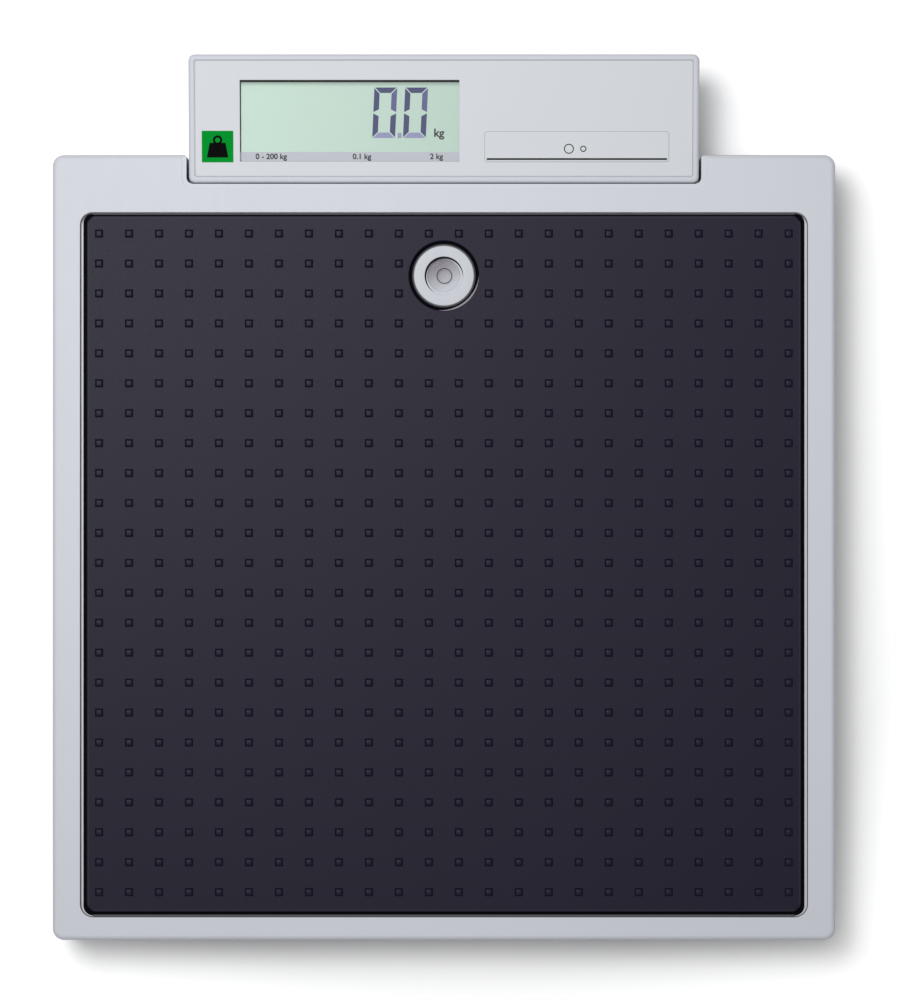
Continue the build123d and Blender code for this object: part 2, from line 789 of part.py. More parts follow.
with BuildPart() as battery_springs:
    for way, cell_x in zip(cell_ways, cell_xs):
        root_y = bay_y - way * (bay_length / 2 - contact_thickness)
        leaf_plane = Plane(
            origin=(cell_x, root_y, battery_z), x_dir=(0, way, 0), z_dir=(way, 0, 0)
        )
        with BuildSketch(leaf_plane):
            with BuildLine():
                Polyline(
                    (0, -contact_height / 2),
                    (bay_spring_room, 0),
                    (0, contact_height / 2),
                    (0, contact_height / 2 - 2 * spring_thickness),
                    (bay_spring_room - 2 * spring_thickness, 0),
                    (0, -contact_height / 2 + 2 * spring_thickness),
                    close=True,
                )
            make_face()
        extrude(amount=spring_width / 2, both=True)
battery_springs.part.label = "battery_springs"
export_step(battery_springs.part, "parts/battery_springs.step")

# Battery lid: a plate with a rounded rear edge, and two tabs that hook over the tray
lid_front_y = hatch_front_y + lid_fit
with BuildPart() as battery_cover:
    with BuildSketch(Plane.YZ):
        with Locations(((lid_front_y + lid_pivot_y) / 2, lid_pivot_z)):
            Rectangle(lid_pivot_y - lid_front_y, tray_wall)
        with Locations((lid_pivot_y, lid_pivot_z)):
            Circle(tray_wall / 2)
    extrude(amount=hatch_width / 2 - lid_fit, both=True)
    tab_root_y = lid_pivot_y - lid_tab_root / 2
    tab_end_y = hatch_rear_y + lid_tab_reach
    tab_top = tray_top + lid_tab_gap + lid_tab_thickness
    for side in (-1, 1):
        tab_x = side * (hatch_width / 4)
        with BuildSketch(Plane.XY.offset(lid_pivot_z)):
            with Locations((tab_x, tab_root_y)):
                Rectangle(lid_tab_width, lid_tab_root)
        extrude(amount=tab_top - lid_pivot_z)
        with BuildSketch(Plane.XY.offset(tab_top)):
            with Locations((tab_x, (tab_root_y + tab_end_y) / 2)):
                Rectangle(lid_tab_width, tab_end_y - tab_root_y)
        extrude(amount=-lid_tab_thickness)
    with BuildSketch(Plane.XY.offset(tray_bottom)):
        with Locations((0, lid_front_y + lid_grip_length)):
            SlotOverall(lid_grip_width, lid_grip_length)
    extrude(amount=lid_grip_depth, mode=Mode.SUBTRACT)
battery_cover.part.label = "battery_cover"
export_step(battery_cover.part, "parts/battery_cover.step")

# Main board, its parts and the unit switch
with BuildPart() as main_board:
    with BuildSketch(Plane.XY.offset(board_bottom)):
        with Locations((0, board_y)):
            Rectangle(board_width, board_length)
    extrude(amount=board_thickness)
main_board.part.label = "main_board"
export_step(main_board.part, "parts/main_board.step")

plug_edge = board_length / 2 - plug_length / 2
with BuildPart() as main_board_parts:
    with BuildSketch(Plane.XY.offset(board_top)):
        for sx, sy in corners.values():
            with Locations((sx * cell_lead_x, board_y + sy * plug_edge)):
                Rectangle(plug_width, plug_length)
        with Locations((0, board_y + plug_edge)):
            Rectangle(socket_width, plug_length)
        with Locations((battery_lead_x, board_y - plug_edge)):
            Rectangle(plug_width, plug_length)
    extrude(amount=plug_height)
    with BuildSketch(Plane.XY.offset(board_top)):
        with Locations((0, board_y)):
            Rectangle(shield_width, shield_length)
    extrude(amount=shield_height)
main_board_parts.part.label = "main_board_parts"
export_step(main_board_parts.part, "parts/main_board_parts.step")

with BuildPart() as unit_switch_body:
    with BuildSketch(Plane.XY.offset(board_bottom)):
        with Locations((switch_x + switch_travel / 2, switch_y)):
            Rectangle(switch_body_x, switch_body_y)
    extrude(amount=-switch_body_z)
    with BuildSketch(Plane.XY.offset(knob_top)):
        with Locations((switch_x + switch_travel / 2, switch_y)):
            slot_x = knob_side + switch_travel + 2 * switch_fit
            Rectangle(slot_x, knob_tongue + 2 * switch_fit)
    extrude(amount=switch_slot_depth, mode=Mode.SUBTRACT)
unit_switch_body.part.label = "unit_switch_body"
export_step(unit_switch_body.part, "parts/unit_switch_body.step")

with BuildPart() as unit_switch_knob:
    with BuildSketch(Plane.XY.offset(knob_top)):
        with Locations((switch_x, switch_y)):
            Rectangle(knob_side, knob_side)
    extrude(amount=-(knob_top - tray_bottom - knob_set_back))
    with BuildSketch(Plane.XY.offset(knob_top)):
        with Locations((switch_x, switch_y)):
            Rectangle(knob_side, knob_tongue)
    extrude(amount=knob_tongue_height)
unit_switch_knob.part.label = "unit_switch_knob"
export_step(unit_switch_knob.part, "parts/unit_switch_knob.step")

# Flat leads from the load cells and the batteries to the main board
for corner, (sx, sy) in corners.items():
    plug_face_y = board_y + sy * board_length / 2
    with BuildLine() as lead_path:
        FilletPolyline(
            (sx * cell_end_x, foot_y[sy], lead_z),
            (sx * cell_lead_x, foot_y[sy], lead_z),
            (sx * cell_lead_x, plug_face_y, lead_z),
            radius=lead_bend,
        )
    lead_face = lead_section(lead_path.wires()[0], lead_width, lead_thickness)
    with BuildPart() as cell_lead:
        sweep(sections=lead_face.sketch, path=lead_path.wires()[0])
    cell_lead.part.label = f"cell_lead_{corner}"
    export_step(cell_lead.part, f"parts/cell_lead_{corner}.step")

with BuildPart() as battery_leads:
    with BuildSketch(Plane.XY.offset(lead_z)):
        lead_start_y = bay_rear_y + box_wall - battery_lead_lap
        lead_end_y = board_y - board_length / 2
        with Locations((battery_lead_x, (lead_start_y + lead_end_y) / 2)):
            Rectangle(lead_width, lead_end_y - lead_start_y)
    extrude(amount=lead_thickness / 2, both=True)
battery_leads.part.label = "battery_leads"
export_step(battery_leads.part, "parts/battery_leads.step")

# Head: one outline for both shells, its hollow, and the posts that take the screws
head_screw_x = head_width / 2 - head_screw_inset
head_screw_front_y = head_front_y + head_screw_inset
head_screw_rear_y = head_rear_y - head_heel - head_screw_inset
head_screw_places = [
    (side * head_screw_x, place_y)
    for side in (-1, 1)
    for place_y in (head_screw_front_y, head_screw_rear_y)
]
head_screw_seat = head_bottom + head_screw_recess
head_screw_along = (head_screw_rear_y - head_rear_y) / cos(tilt)
head_screw_length = (
    head_height(head_screw_along, head_split_depth) + head_screw_grip - head_screw_seat
)
with BuildPart() as head_form:
    with BuildSketch(Plane.YZ):
        with BuildLine():
            Polyline(
                (head_front_y, head_bottom),
                (head_rear_y - head_heel, head_bottom),
                (head_rear_y, head_rear_edge),
                (head_rear_y, overall_height),
                (head_front_y, head_height(-head_face_length, 0)),
                close=True,
            )
        make_face()
    extrude(amount=head_width / 2, both=True)
    fillet(head_form.edges().filter_by(Axis.Z), head_corner_radius)
    fillet(head_form.faces().sort_by(Axis.Z)[-1].edges(), head_edge_radius)
with BuildPart() as head_hollow:
    with BuildSketch(Plane.YZ):
        with BuildLine():
            Polyline(
                (head_front_y, head_bottom),
                (head_rear_y - head_heel, head_bottom),
                (head_rear_y, head_rear_edge),
                (head_rear_y, overall_height),
                (head_front_y, head_height(-head_face_length, 0)),
                close=True,
            )
        make_face()
        offset(amount=-head_wall, kind=Kind.INTERSECTION)
    extrude(amount=head_width / 2 - head_wall, both=True)
    # way in for the bracket and the display's lead
    with BuildSketch(Plane.XY.offset(bracket_bottom)):
        with Locations((0, head_front_y)):
            Rectangle(passage_width, 2 * head_wall)
    extrude(amount=passage_height - bracket_gap)
with BuildPart() as head_posts:
    with BuildSketch(Plane.XY.offset(head_bottom)):
        with Locations(*head_screw_places):
            Rectangle(head_post_side, head_post_side)
    extrude(amount=overall_height - head_bottom)
    add(head_form.part, mode=Mode.INTERSECT)

board_edge_x = display_board_width / 2 - head_prop_inset
board_edge_y = display_board_length / 2 - head_prop_inset
stem_bottom_depth = tact_top_depth - button_height
with BuildPart() as head_upper_shell:
    add(head_form.part)
    add(head_hollow.part, mode=Mode.SUBTRACT)
    add(head_posts.part)
    split(bisect_by=head_level(head_split_depth), keep=Keep.TOP)
    # pad under the key, and bosses that meet the display board
    with BuildSketch(head_level(head_wall)):
        with Locations((key_x, key_y)):
            Rectangle(key_width + 2 * key_pad_margin, key_length + 2 * key_pad_margin)
    extrude(amount=-key_pad_thickness)
    with BuildSketch(head_level(head_wall)):
        with Locations(
            (board_edge_x, display_board_y - board_edge_y),
            (board_edge_x, display_board_y + board_edge_y),
        ):
            Rectangle(head_prop_side, head_prop_side)
    extrude(amount=head_wall - display_board_depth)
    # recess for the foil, rebate and opening for the window, pocket and hole for the key
    with BuildSketch(head_level(0)):
        with Locations((0, -head_face_length / 2)):
            foil_bed_width = head_width - 2 * foil_border
            RectangleRounded(
                foil_bed_width, head_face_length - 2 * foil_border, foil_corner_radius
            )
    extrude(amount=-foil_recess, mode=Mode.SUBTRACT)
    with BuildSketch(head_level(foil_recess)):
        with Locations((window_x, window_y)):
            Rectangle(window_width + 2 * window_ledge, window_length + 2 * window_ledge)
    extrude(amount=-window_thickness, mode=Mode.SUBTRACT)
    with BuildSketch(head_level(foil_recess)):
        with Locations((window_x, window_y)):
            Rectangle(window_width, window_length)
    extrude(amount=-head_wall, mode=Mode.SUBTRACT)
    with BuildSketch(head_level(foil_top_depth)):
        with Locations((key_x, key_y)):
            pocket_width = key_width + 2 * key_gap
            pocket_length = key_length + 2 * key_gap
            RectangleRounded(pocket_width, pocket_length, key_corner_radius + key_gap)
    extrude(amount=-(key_thickness + key_travel + key_floor_gap), mode=Mode.SUBTRACT)
    with BuildSketch(head_level(foil_recess)):
        with Locations((key_x, key_y)):
            RegularPolygon(key_stem_radius + key_stem_clearance, hole_sides)
    extrude(amount=-(head_wall + key_pad_thickness), mode=Mode.SUBTRACT)
    with BuildSketch(Plane.XY.offset(head_bottom)):
        with Locations(*head_screw_places):
            RegularPolygon(screw_radius + screw_clearance, screw_sides)
    pilot = head_screw_recess + head_screw_length + screw_pilot_spare
    extrude(amount=pilot, mode=Mode.SUBTRACT)
head_upper_shell.part.label = "head_upper_shell"
export_step(head_upper_shell.part, "parts/head_upper_shell.step")

with BuildPart() as head_props:
    with BuildSketch(head_level(display_board_underside)):
        for sx, sy in corners.values():
            with Locations((sx * board_edge_x, display_board_y + sy * board_edge_y)):
                Rectangle(head_prop_side, head_prop_side)
    extrude(amount=-overall_height)
    add(head_form.part, mode=Mode.INTERSECT)
with BuildPart() as head_lower_shell:
    add(head_form.part)
    add(head_hollow.part, mode=Mode.SUBTRACT)
    add(head_posts.part)
    split(bisect_by=head_level(head_split_depth), keep=Keep.BOTTOM)
    add(head_props.part)
    # rest for the bracket's tongue
    with BuildSketch(Plane.XY.offset(bracket_bottom)):
        with Locations((0, head_front_y + bracket_reach / 2)):
            Rectangle(bracket_width, bracket_reach)
    extrude(amount=head_bottom - bracket_bottom)
    with BuildSketch(Plane.XY.offset(head_bottom)):
        with Locations(*head_screw_places):
            RegularPolygon(screw_recess_radius, hole_sides)
    extrude(amount=head_screw_recess, mode=Mode.SUBTRACT)
    with BuildSketch(Plane.XY.offset(head_screw_seat)):
        with Locations(*head_screw_places):
            RegularPolygon(screw_radius + screw_hole_gap, hole_sides)
    extrude(amount=overall_height - head_screw_seat, mode=Mode.SUBTRACT)
head_lower_shell.part.label = "head_lower_shell"
export_step(head_lower_shell.part, "parts/head_lower_shell.step")

with BuildPart() as head_screws:
    with BuildSketch(Plane.XY.offset(head_screw_seat)):
        with Locations(*head_screw_places):
            RegularPolygon(screw_head_radius, 6)
    extrude(amount=-screw_head_height)
    with BuildSketch(Plane.XY.offset(head_screw_seat)):
        with Locations(*head_screw_places):
            RegularPolygon(screw_radius, screw_sides)
    extrude(amount=head_screw_length)
head_screws.part.label = "head_screws"
export_step(head_screws.part, "parts/head_screws.step")

# Steel bracket: a flange under the carrier plate, a web with a window, a tongue into the head
with BuildPart() as head_bracket:
    with BuildSketch(Plane.YZ):
        with BuildLine():
            Polyline(
                (bracket_web_y - bracket_thickness - bracket_flange, carrier_bottom),
                (bracket_web_y, carrier_bottom),
                (bracket_web_y, bracket_bottom + bracket_thickness),
                (bracket_end_y, bracket_bottom + bracket_thickness),
                (bracket_end_y, bracket_bottom),
                (bracket_web_y - bracket_thickness, bracket_bottom),
                (bracket_web_y - bracket_thickness, carrier_bottom - bracket_thickness),
                (
                    bracket_web_y - bracket_thickness - bracket_flange,
                    carrier_bottom - bracket_thickness,
                ),
                close=True,
            )
        make_face()
    extrude(amount=bracket_width / 2, both=True)
    window_z = bracket_bottom + bracket_thickness + bracket_window_height / 2
    with Locations((0, bracket_web_y - bracket_thickness / 2, window_z)):
        Box(
            bracket_window_width,
            2 * bracket_thickness,
            bracket_window_height,
            mode=Mode.SUBTRACT,
        )
head_bracket.part.label = "head_bracket"
export_step(head_bracket.part, "parts/head_bracket.step")

# Front foil, with openings for the window and the key
with BuildPart() as front_foil:
    with BuildSketch(head_level(foil_recess)):
        with Locations((0, -head_face_length / 2)):
            foil_inset = foil_border + foil_fit
            RectangleRounded(
                head_width - 2 * foil_inset,
                head_face_length - 2 * foil_inset,
                foil_corner_radius - foil_fit,
            )
        with Locations((window_x, window_y)):
            Rectangle(window_width, window_length, mode=Mode.SUBTRACT)
        with Locations((key_x, key_y)):
            RectangleRounded(
                key_width + 2 * key_gap,
                key_length + 2 * key_gap,
                key_corner_radius + key_gap,
                mode=Mode.SUBTRACT,
            )
    extrude(amount=foil_thickness)
front_foil.part.label = "front_foil"
export_step(front_foil.part, "parts/front_foil.step")

with BuildPart() as display_window:
    with BuildSketch(head_level(foil_recess)):
        with Locations((window_x, window_y)):
            pane_margin = window_ledge - window_fit
            Rectangle(window_width + 2 * pane_margin, window_length + 2 * pane_margin)
    extrude(amount=-window_thickness)
display_window.part.label = "display_window"
export_step(display_window.part, "parts/display_window.step")

with BuildPart() as window_gasket:
    with BuildSketch(head_level(head_wall)):
        with Locations((window_x, window_y)):
            Rectangle(lcd_width, lcd_length)
            Rectangle(
                lcd_width - 2 * gasket_width, lcd_length - 2 * gasket_width, mode=Mode.SUBTRACT
            )
    extrude(amount=-gasket_thickness)
window_gasket.part.label = "window_gasket"
export_step(window_gasket.part, "parts/window_gasket.step")

# Display glass with the printed strip in front, its frame and its contact strips
with BuildPart() as lcd_glass:
    with BuildSketch(head_level(lcd_top_depth)):
        with Locations((window_x, window_y)):
            Rectangle(lcd_width, lcd_length)
    extrude(amount=-lcd_thickness)
lcd_glass.part.label = "lcd_glass"
export_step(lcd_glass.part, "parts/lcd_glass.step")

with BuildPart() as range_strip:
    with BuildSketch(head_level(lcd_top_depth)):
        with Locations((window_x, window_y - window_length / 2 + strip_length / 2)):
            Rectangle(window_width, strip_length)
    extrude(amount=strip_thickness)
range_strip.part.label = "range_strip"
export_step(range_strip.part, "parts/range_strip.step")

with BuildPart() as lcd_frame:
    with BuildSketch(head_level(head_wall)):
        with Locations((window_x, window_y)):
            frame_margin = frame_fit + frame_wall
            Rectangle(lcd_width + 2 * frame_margin, lcd_length + 2 * frame_margin)
            Rectangle(lcd_width + 2 * frame_fit, lcd_length + 2 * frame_fit, mode=Mode.SUBTRACT)
    extrude(amount=head_wall - display_board_depth)
lcd_frame.part.label = "lcd_frame"
export_step(lcd_frame.part, "parts/lcd_frame.step")

with BuildPart() as contact_strips:
    with BuildSketch(head_level(lcd_bottom_depth)):
        for side in (-1, 1):
            strip_inset = contact_strip_inset + contact_strip_width / 2
            with Locations((window_x, window_y + side * (lcd_length / 2 - strip_inset))):
                Rectangle(lcd_width - 2 * contact_strip_inset, contact_strip_width)
    extrude(amount=-contact_strip_height)
contact_strips.part.label = "contact_strips"
export_step(contact_strips.part, "parts/contact_strips.step")

# Display board with its parts
with BuildPart() as display_board:
    with BuildSketch(head_level(display_board_depth)):
        with Locations((0, display_board_y)):
            Rectangle(display_board_width, display_board_length)
    extrude(amount=-board_thickness)
display_board.part.label = "display_board"
export_step(display_board.part, "parts/display_board.step")

with BuildPart() as board_chips:
    with BuildSketch(head_level(display_board_underside)):
        for share in chip_shares_x:
            with Locations((share * display_board_width / 2, display_board_y)):
                Rectangle(chip_side, chip_side)
    extrude(amount=-chip_height)
board_chips.part.label = "board_chips"
export_step(board_chips.part, "parts/board_chips.step")

with BuildPart() as display_socket:
    with BuildSketch(head_level(display_board_underside)):
        with Locations((0, -socket_from_rear)):
            Rectangle(socket_width, socket_length)
    extrude(amount=-socket_height)
display_socket.part.label = "display_socket"
export_step(display_socket.part, "parts/display_socket.step")

with BuildPart() as buzzer:
    with BuildSketch(head_level(display_board_underside)):
        with Locations((buzzer_share_x * display_board_width / 2, display_board_y)):
            RegularPolygon(buzzer_radius, cell_sides)
    extrude(amount=-buzzer_height)
buzzer.part.label = "buzzer"
export_step(buzzer.part, "parts/buzzer.step")

# Key with its stem, over a small switch
with BuildPart() as mode_key:
    with BuildSketch(head_level(foil_top_depth)):
        with Locations((key_x, key_y)):
            RectangleRounded(key_width, key_length, key_corner_radius)
    extrude(amount=-key_thickness)
    with BuildSketch(head_level(foil_top_depth + key_thickness)):
        with Locations((key_x, key_y)):
            RegularPolygon(key_stem_radius, pin_sides)
    extrude(amount=foil_top_depth + key_thickness - stem_bottom_depth)
mode_key.part.label = "mode_key"
export_step(mode_key.part, "parts/mode_key.step")

with BuildPart() as key_switch:
    with BuildSketch(head_level(tact_top_depth)):
        with Locations((key_x, key_y)):
            Rectangle(tact_side, tact_side)
    extrude(amount=-tact_height)
    with BuildSketch(head_level(tact_top_depth)):
        with Locations((key_x, key_y)):
            RegularPolygon(button_radius + tact_hole_gap, hole_sides)
    extrude(amount=-tact_hole_depth, mode=Mode.SUBTRACT)
key_switch.part.label = "key_switch"
export_step(key_switch.part, "parts/key_switch.step")

with BuildPart() as switch_plunger:
    with BuildSketch(head_level(stem_bottom_depth)):
        with Locations((key_x, key_y)):
            RegularPolygon(button_radius, pin_sides)
    extrude(amount=-(button_height + button_sink))
switch_plunger.part.label = "switch_plunger"
export_step(switch_plunger.part, "parts/switch_plunger.step")

# Flat lead from the main board, through the bracket's window and along its tongue, to the display
socket_depth = display_board_underside + socket_height / 2
socket_face = -socket_from_rear - socket_length / 2
lead_end = head_level(socket_depth).from_local_coords((0, socket_face, 0))
lead_turn = head_level(socket_depth).from_local_coords((0, socket_face - display_lead_run, 0))
with BuildLine() as display_path:
    FilletPolyline(
        (0, board_y + board_length / 2, lead_z),
        (0, board_y + board_length / 2 + display_lead_dip, lead_z),
        (0, bracket_web_y - display_lead_dip, display_lead_z),
        (0, head_front_y + display_lead_rise, display_lead_z),
        lead_turn,
        lead_end,
        radius=display_lead_bend,
    )
display_section = lead_section(display_path.wires()[0], display_lead_width, lead_thickness)
with BuildPart() as display_lead:
    sweep(sections=display_section.sketch, path=display_path.wires()[0])
display_lead.part.label = "display_lead"
export_step(display_lead.part, "parts/display_lead.step")
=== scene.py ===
import bpy
import bmesh
from math import pi, sin, cos, tan, radians
from mathutils import Vector, Matrix


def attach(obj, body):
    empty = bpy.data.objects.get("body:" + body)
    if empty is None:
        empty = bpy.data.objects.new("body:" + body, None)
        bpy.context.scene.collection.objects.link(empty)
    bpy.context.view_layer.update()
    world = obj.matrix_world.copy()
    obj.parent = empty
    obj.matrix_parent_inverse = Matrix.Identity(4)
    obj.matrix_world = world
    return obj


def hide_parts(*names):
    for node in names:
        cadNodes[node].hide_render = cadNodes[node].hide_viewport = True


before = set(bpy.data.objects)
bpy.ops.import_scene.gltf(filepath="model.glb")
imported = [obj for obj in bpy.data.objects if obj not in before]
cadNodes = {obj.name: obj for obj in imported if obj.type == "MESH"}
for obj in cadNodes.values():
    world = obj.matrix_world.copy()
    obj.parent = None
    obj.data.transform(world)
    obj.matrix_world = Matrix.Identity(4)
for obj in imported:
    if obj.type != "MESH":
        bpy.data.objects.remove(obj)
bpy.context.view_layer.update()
mm = 0.001
print("frame loaded:", len(cadNodes), "nodes")


# small helpers for node trees

def newNode(tree, kind, inputs=None, **settings):
    # an input is a plain value or another node's output
    node = tree.nodes.new(kind)
    for key, value in settings.items():
        setattr(node, key, value)
    for key, value in (inputs or {}).items():
        if isinstance(value, bpy.types.NodeSocket):
            tree.links.new(value, node.inputs[key])
        else:
            node.inputs[key].default_value = value
    return node


def shaderNode(tree, kind, *inputs, **settings):
    return newNode(tree, "ShaderNode" + kind, *inputs, **settings)


def fieldNode(tree, kind, *inputs, **settings):
    return newNode(tree, "GeometryNode" + kind, *inputs, **settings)


def newMaterial(name, colour, roughness, specular=0.5, more=None):
    material = bpy.data.materials.new(name)
    material.use_nodes = True
    tree = material.node_tree
    shader = tree.nodes["Principled BSDF"]
    look = {"Base Color": (*colour, 1), "Roughness": roughness, "Specular IOR Level": specular}
    for key, value in (look | (more or {})).items():
        shader.inputs[key].default_value = value
    material.diffuse_color = (*colour, 1)
    return material, tree


def wired(material, colour, roughness=None, normal=None):
    # the material, with these outputs led into its shader
    tree = material.node_tree
    for key, value in (("Base Color", colour), ("Roughness", roughness), ("Normal", normal)):
        if value is not None:
            tree.links.new(value, tree.nodes["Principled BSDF"].inputs[key])
    return material


def objectPlace(tree, stretch=(1, 1, 1), turn=(0, 0, 0)):
    place = shaderNode(tree, "TexCoord").outputs["Object"]
    mapping = shaderNode(tree, "Mapping", {"Vector": place, "Scale": stretch, "Rotation": turn})
    return mapping.outputs["Vector"]


def objectParts(tree):
    # the place, and its x, y and z apart
    place = shaderNode(tree, "TexCoord").outputs["Object"]
    return place, shaderNode(tree, "SeparateXYZ", {0: place}).outputs


def noiseValue(tree, place, size, detail):
    # size is the width of one blotch in millimetres
    node = shaderNode(tree, "TexNoise", {"Vector": place, "Scale": 1 / (size * mm), "Detail": detail})
    return node.outputs[0]


def rangeOf(tree, value, low, high, fromLow=0.3, fromHigh=0.7):
    return shaderNode(tree, "MapRange", {0: value, 1: fromLow, 2: fromHigh, 3: low, 4: high}).outputs[0]


def colourBetween(tree, factor, first, second):
    inputs = {0: factor}
    for index, colour in ((6, first), (7, second)):
        inputs[index] = colour if isinstance(colour, bpy.types.NodeSocket) else (*colour, 1)
    return shaderNode(tree, "Mix", inputs, data_type="RGBA").outputs[2]


def largest(tree, values):
    found = values[0]
    for value in values[1:]:
        found = shaderNode(tree, "Math", {0: found, 1: value}, operation="MAXIMUM").outputs[0]
    return found


def bumpFrom(tree, height, depth, below=None, strength=1.0):
    # depth in millimetres
    inputs = {"Height": height, "Strength": strength, "Distance": depth * mm}
    if below is not None:
        inputs["Normal"] = below
    return shaderNode(tree, "Bump", inputs).outputs["Normal"]


def shade(colour, factor):
    return tuple(min(1.0, part * factor) for part in colour)


def blotchy(tree, colour, value, low, high):
    # the colour, lighter and darker by turns
    return colourBetween(tree, rangeOf(tree, value, 0, 1), shade(colour, low), shade(colour, high))


def patchy(tree, colour, value, patchColour, shown):
    # the colour, with patches of another
    return colourBetween(tree, rangeOf(tree, value, 0, shown), colour, patchColour)


def roughened(tree, value, roughness, less, more):
    return rangeOf(tree, value, roughness + less, roughness + more)


# finishes, with the values of their blotches

blotch = {   # width in millimetres, detail
    "plasticDrift": (55, 3),
    "plasticRub": (2.2, 4),
    "rubberBloom": (38, 4),
    "rubberSkin": (2.6, 3),
    "treadBloom": (60, 2),
    "treadRub": (1.1, 3),
    "treadPits": (0.22, 2),
    "steelLines": (4.0, 5),
    "steelCloud": (14, 4),
    "boardCloud": (9, 3),
    "inkCover": (0.5, 3),
    "displayCloud": (8, 3),
    "displayCells": (0.25, 1),
    "sleeveScuff": (1.4, 4),
}
tone = {   # share of the colour in the darkest and lightest places
    "rubberBloom": (0.96, 1.05),
    "treadBloom": (0.97, 1.03),
    "treadRub": (0.8, 1.15),
    "steelCloud": (0.88, 1.06),
    "boardCloud": (0.85, 1.15),
    "inkCover": (0.9, 1.08),
}
patch = {   # share of the colour in a patch, how much of the patch shows
    "displayCloud": (0.86, 0.10),
    # painted shade along the display's rear edge
    "displayRim": (0.35, 0.75),
    "sleeveScuff": (1.6, 0.3),
}
rougher = {   # added to the roughness, at least and at most
    "plasticRub": (-0.02, 0.03),
    "rubberSkin": (-0.02, 0.03),
    "treadRub": (-0.015, 0.02),
    "steelLines": (-0.08, 0.14),
}
relief = {   # depth in millimetres
    "treadPits": 0.006,
    "steelLines": 0.01,
    "clearWave": 0.004,
    "boardTracks": 0.02,
    "inkCover": 0.004,
    "displayCells": 0.004,
    "sleeveScuff": 0.01,
}


def mouldedPlastic(name, colour, roughness=0.45, grain=0.35, depth=0.012, mottle=0.03, specular=0.25):
    # spark-eroded grain, slow colour drift, faint rub marks
    material, tree = newMaterial(name, colour, roughness, specular)
    place = objectPlace(tree)
    drift = noiseValue(tree, place, *blotch["plasticDrift"])
    fine = noiseValue(tree, place, grain, 3)
    rub = noiseValue(tree, objectPlace(tree, stretch=(1, 0.18, 1), turn=(0, 0, 0.6)), *blotch["plasticRub"])
    slow = blotchy(tree, colour, drift, 1 - mottle, 1 + mottle)
    speck = patchy(tree, slow, fine, shade(colour, 1 - 2.2 * mottle), 0.35)
    rough = roughened(tree, rub, roughness, *rougher["plasticRub"])
    return wired(material, speck, rough, bumpFrom(tree, fine, depth))


def mouldedRubber(name, colour, roughness=0.55, grain=0.3, depth=0.02, specular=0.5):
    # matt skin with fine pits and a dusty bloom in patches
    material, tree = newMaterial(name, colour, roughness, specular)
    place = objectPlace(tree)
    bloom = noiseValue(tree, place, *blotch["rubberBloom"])
    pits = noiseValue(tree, place, grain, 2)
    skin = noiseValue(tree, place, *blotch["rubberSkin"])
    dusty = blotchy(tree, colour, bloom, *tone["rubberBloom"])
    rough = roughened(tree, skin, roughness, *rougher["rubberSkin"])
    low = bumpFrom(tree, skin, depth * 0.6)
    return wired(material, dusty, rough, bumpFrom(tree, pits, depth, low))


def treadRubber(name, colour, worn, wornFrom, face, rim, rimBand, roughness, specular):
    # fine skin; what stands higher than wornFrom is rubbed paler, and the face's edge carries a painted
    # highlight where its rounded edge catches the light;
    # face is its (width, length, middle) and the band how far in the highlight reaches, in millimetres
    material, tree = newMaterial(name, colour, roughness, specular)
    place, parts = objectParts(tree)
    bloom = noiseValue(tree, place, *blotch["treadBloom"])
    pits = noiseValue(tree, place, *blotch["treadPits"])
    rubbed = noiseValue(tree, place, *blotch["treadRub"])
    high = rangeOf(tree, parts[2], 0, 1, wornFrom[0] * mm, wornFrom[1] * mm)
    edges = []
    for axis, (size, middle) in enumerate(((face[0], 0), (face[1], face[2]))):
        away = shaderNode(tree, "Math", {0: parts[axis], 1: middle * mm}, operation="SUBTRACT").outputs[0]
        far = shaderNode(tree, "Math", {0: away}, operation="ABSOLUTE").outputs[0]
        edges.append(rangeOf(tree, far, 0, 1, *((size / 2 - inset) * mm for inset in rimBand)))
    dusty = blotchy(tree, colour, bloom, *tone["treadBloom"])
    field = colourBetween(tree, high, dusty, blotchy(tree, worn, rubbed, *tone["treadRub"]))
    # painted highlight along the face's edge
    edged = colourBetween(tree, largest(tree, edges), field, rim)
    rough = roughened(tree, rubbed, roughness, *rougher["treadRub"])
    return wired(material, edged, rough, bumpFrom(tree, pits, relief["treadPits"]))


def platedSteel(name, colour, roughness=0.34, streak=(1, 12, 12)):
    # zinc plate over rolled sheet: long streaks and cloudy patches
    material, tree = newMaterial(name, colour, roughness, more={"Metallic": 1.0})
    lines = noiseValue(tree, objectPlace(tree, streak), *blotch["steelLines"])
    cloud = noiseValue(tree, objectPlace(tree), *blotch["steelCloud"])
    clouded = blotchy(tree, colour, cloud, *tone["steelCloud"])
    rough = roughened(tree, lines, roughness, *rougher["steelLines"])
    return wired(material, clouded, rough, bumpFrom(tree, lines, relief["steelLines"]))


def clearPlastic(name, tint, alpha, roughness=0.08, haze=3.0, specular=0.5):
    # clear moulding; light passes through by its alpha
    material, tree = newMaterial(name, tint, roughness, specular, {"Alpha": alpha, "IOR": 1.49})
    wave = noiseValue(tree, objectPlace(tree), haze, 2)
    rough = rangeOf(tree, wave, roughness * 0.7, roughness * 1.6)
    return wired(material, None, rough, bumpFrom(tree, wave, relief["clearWave"]))


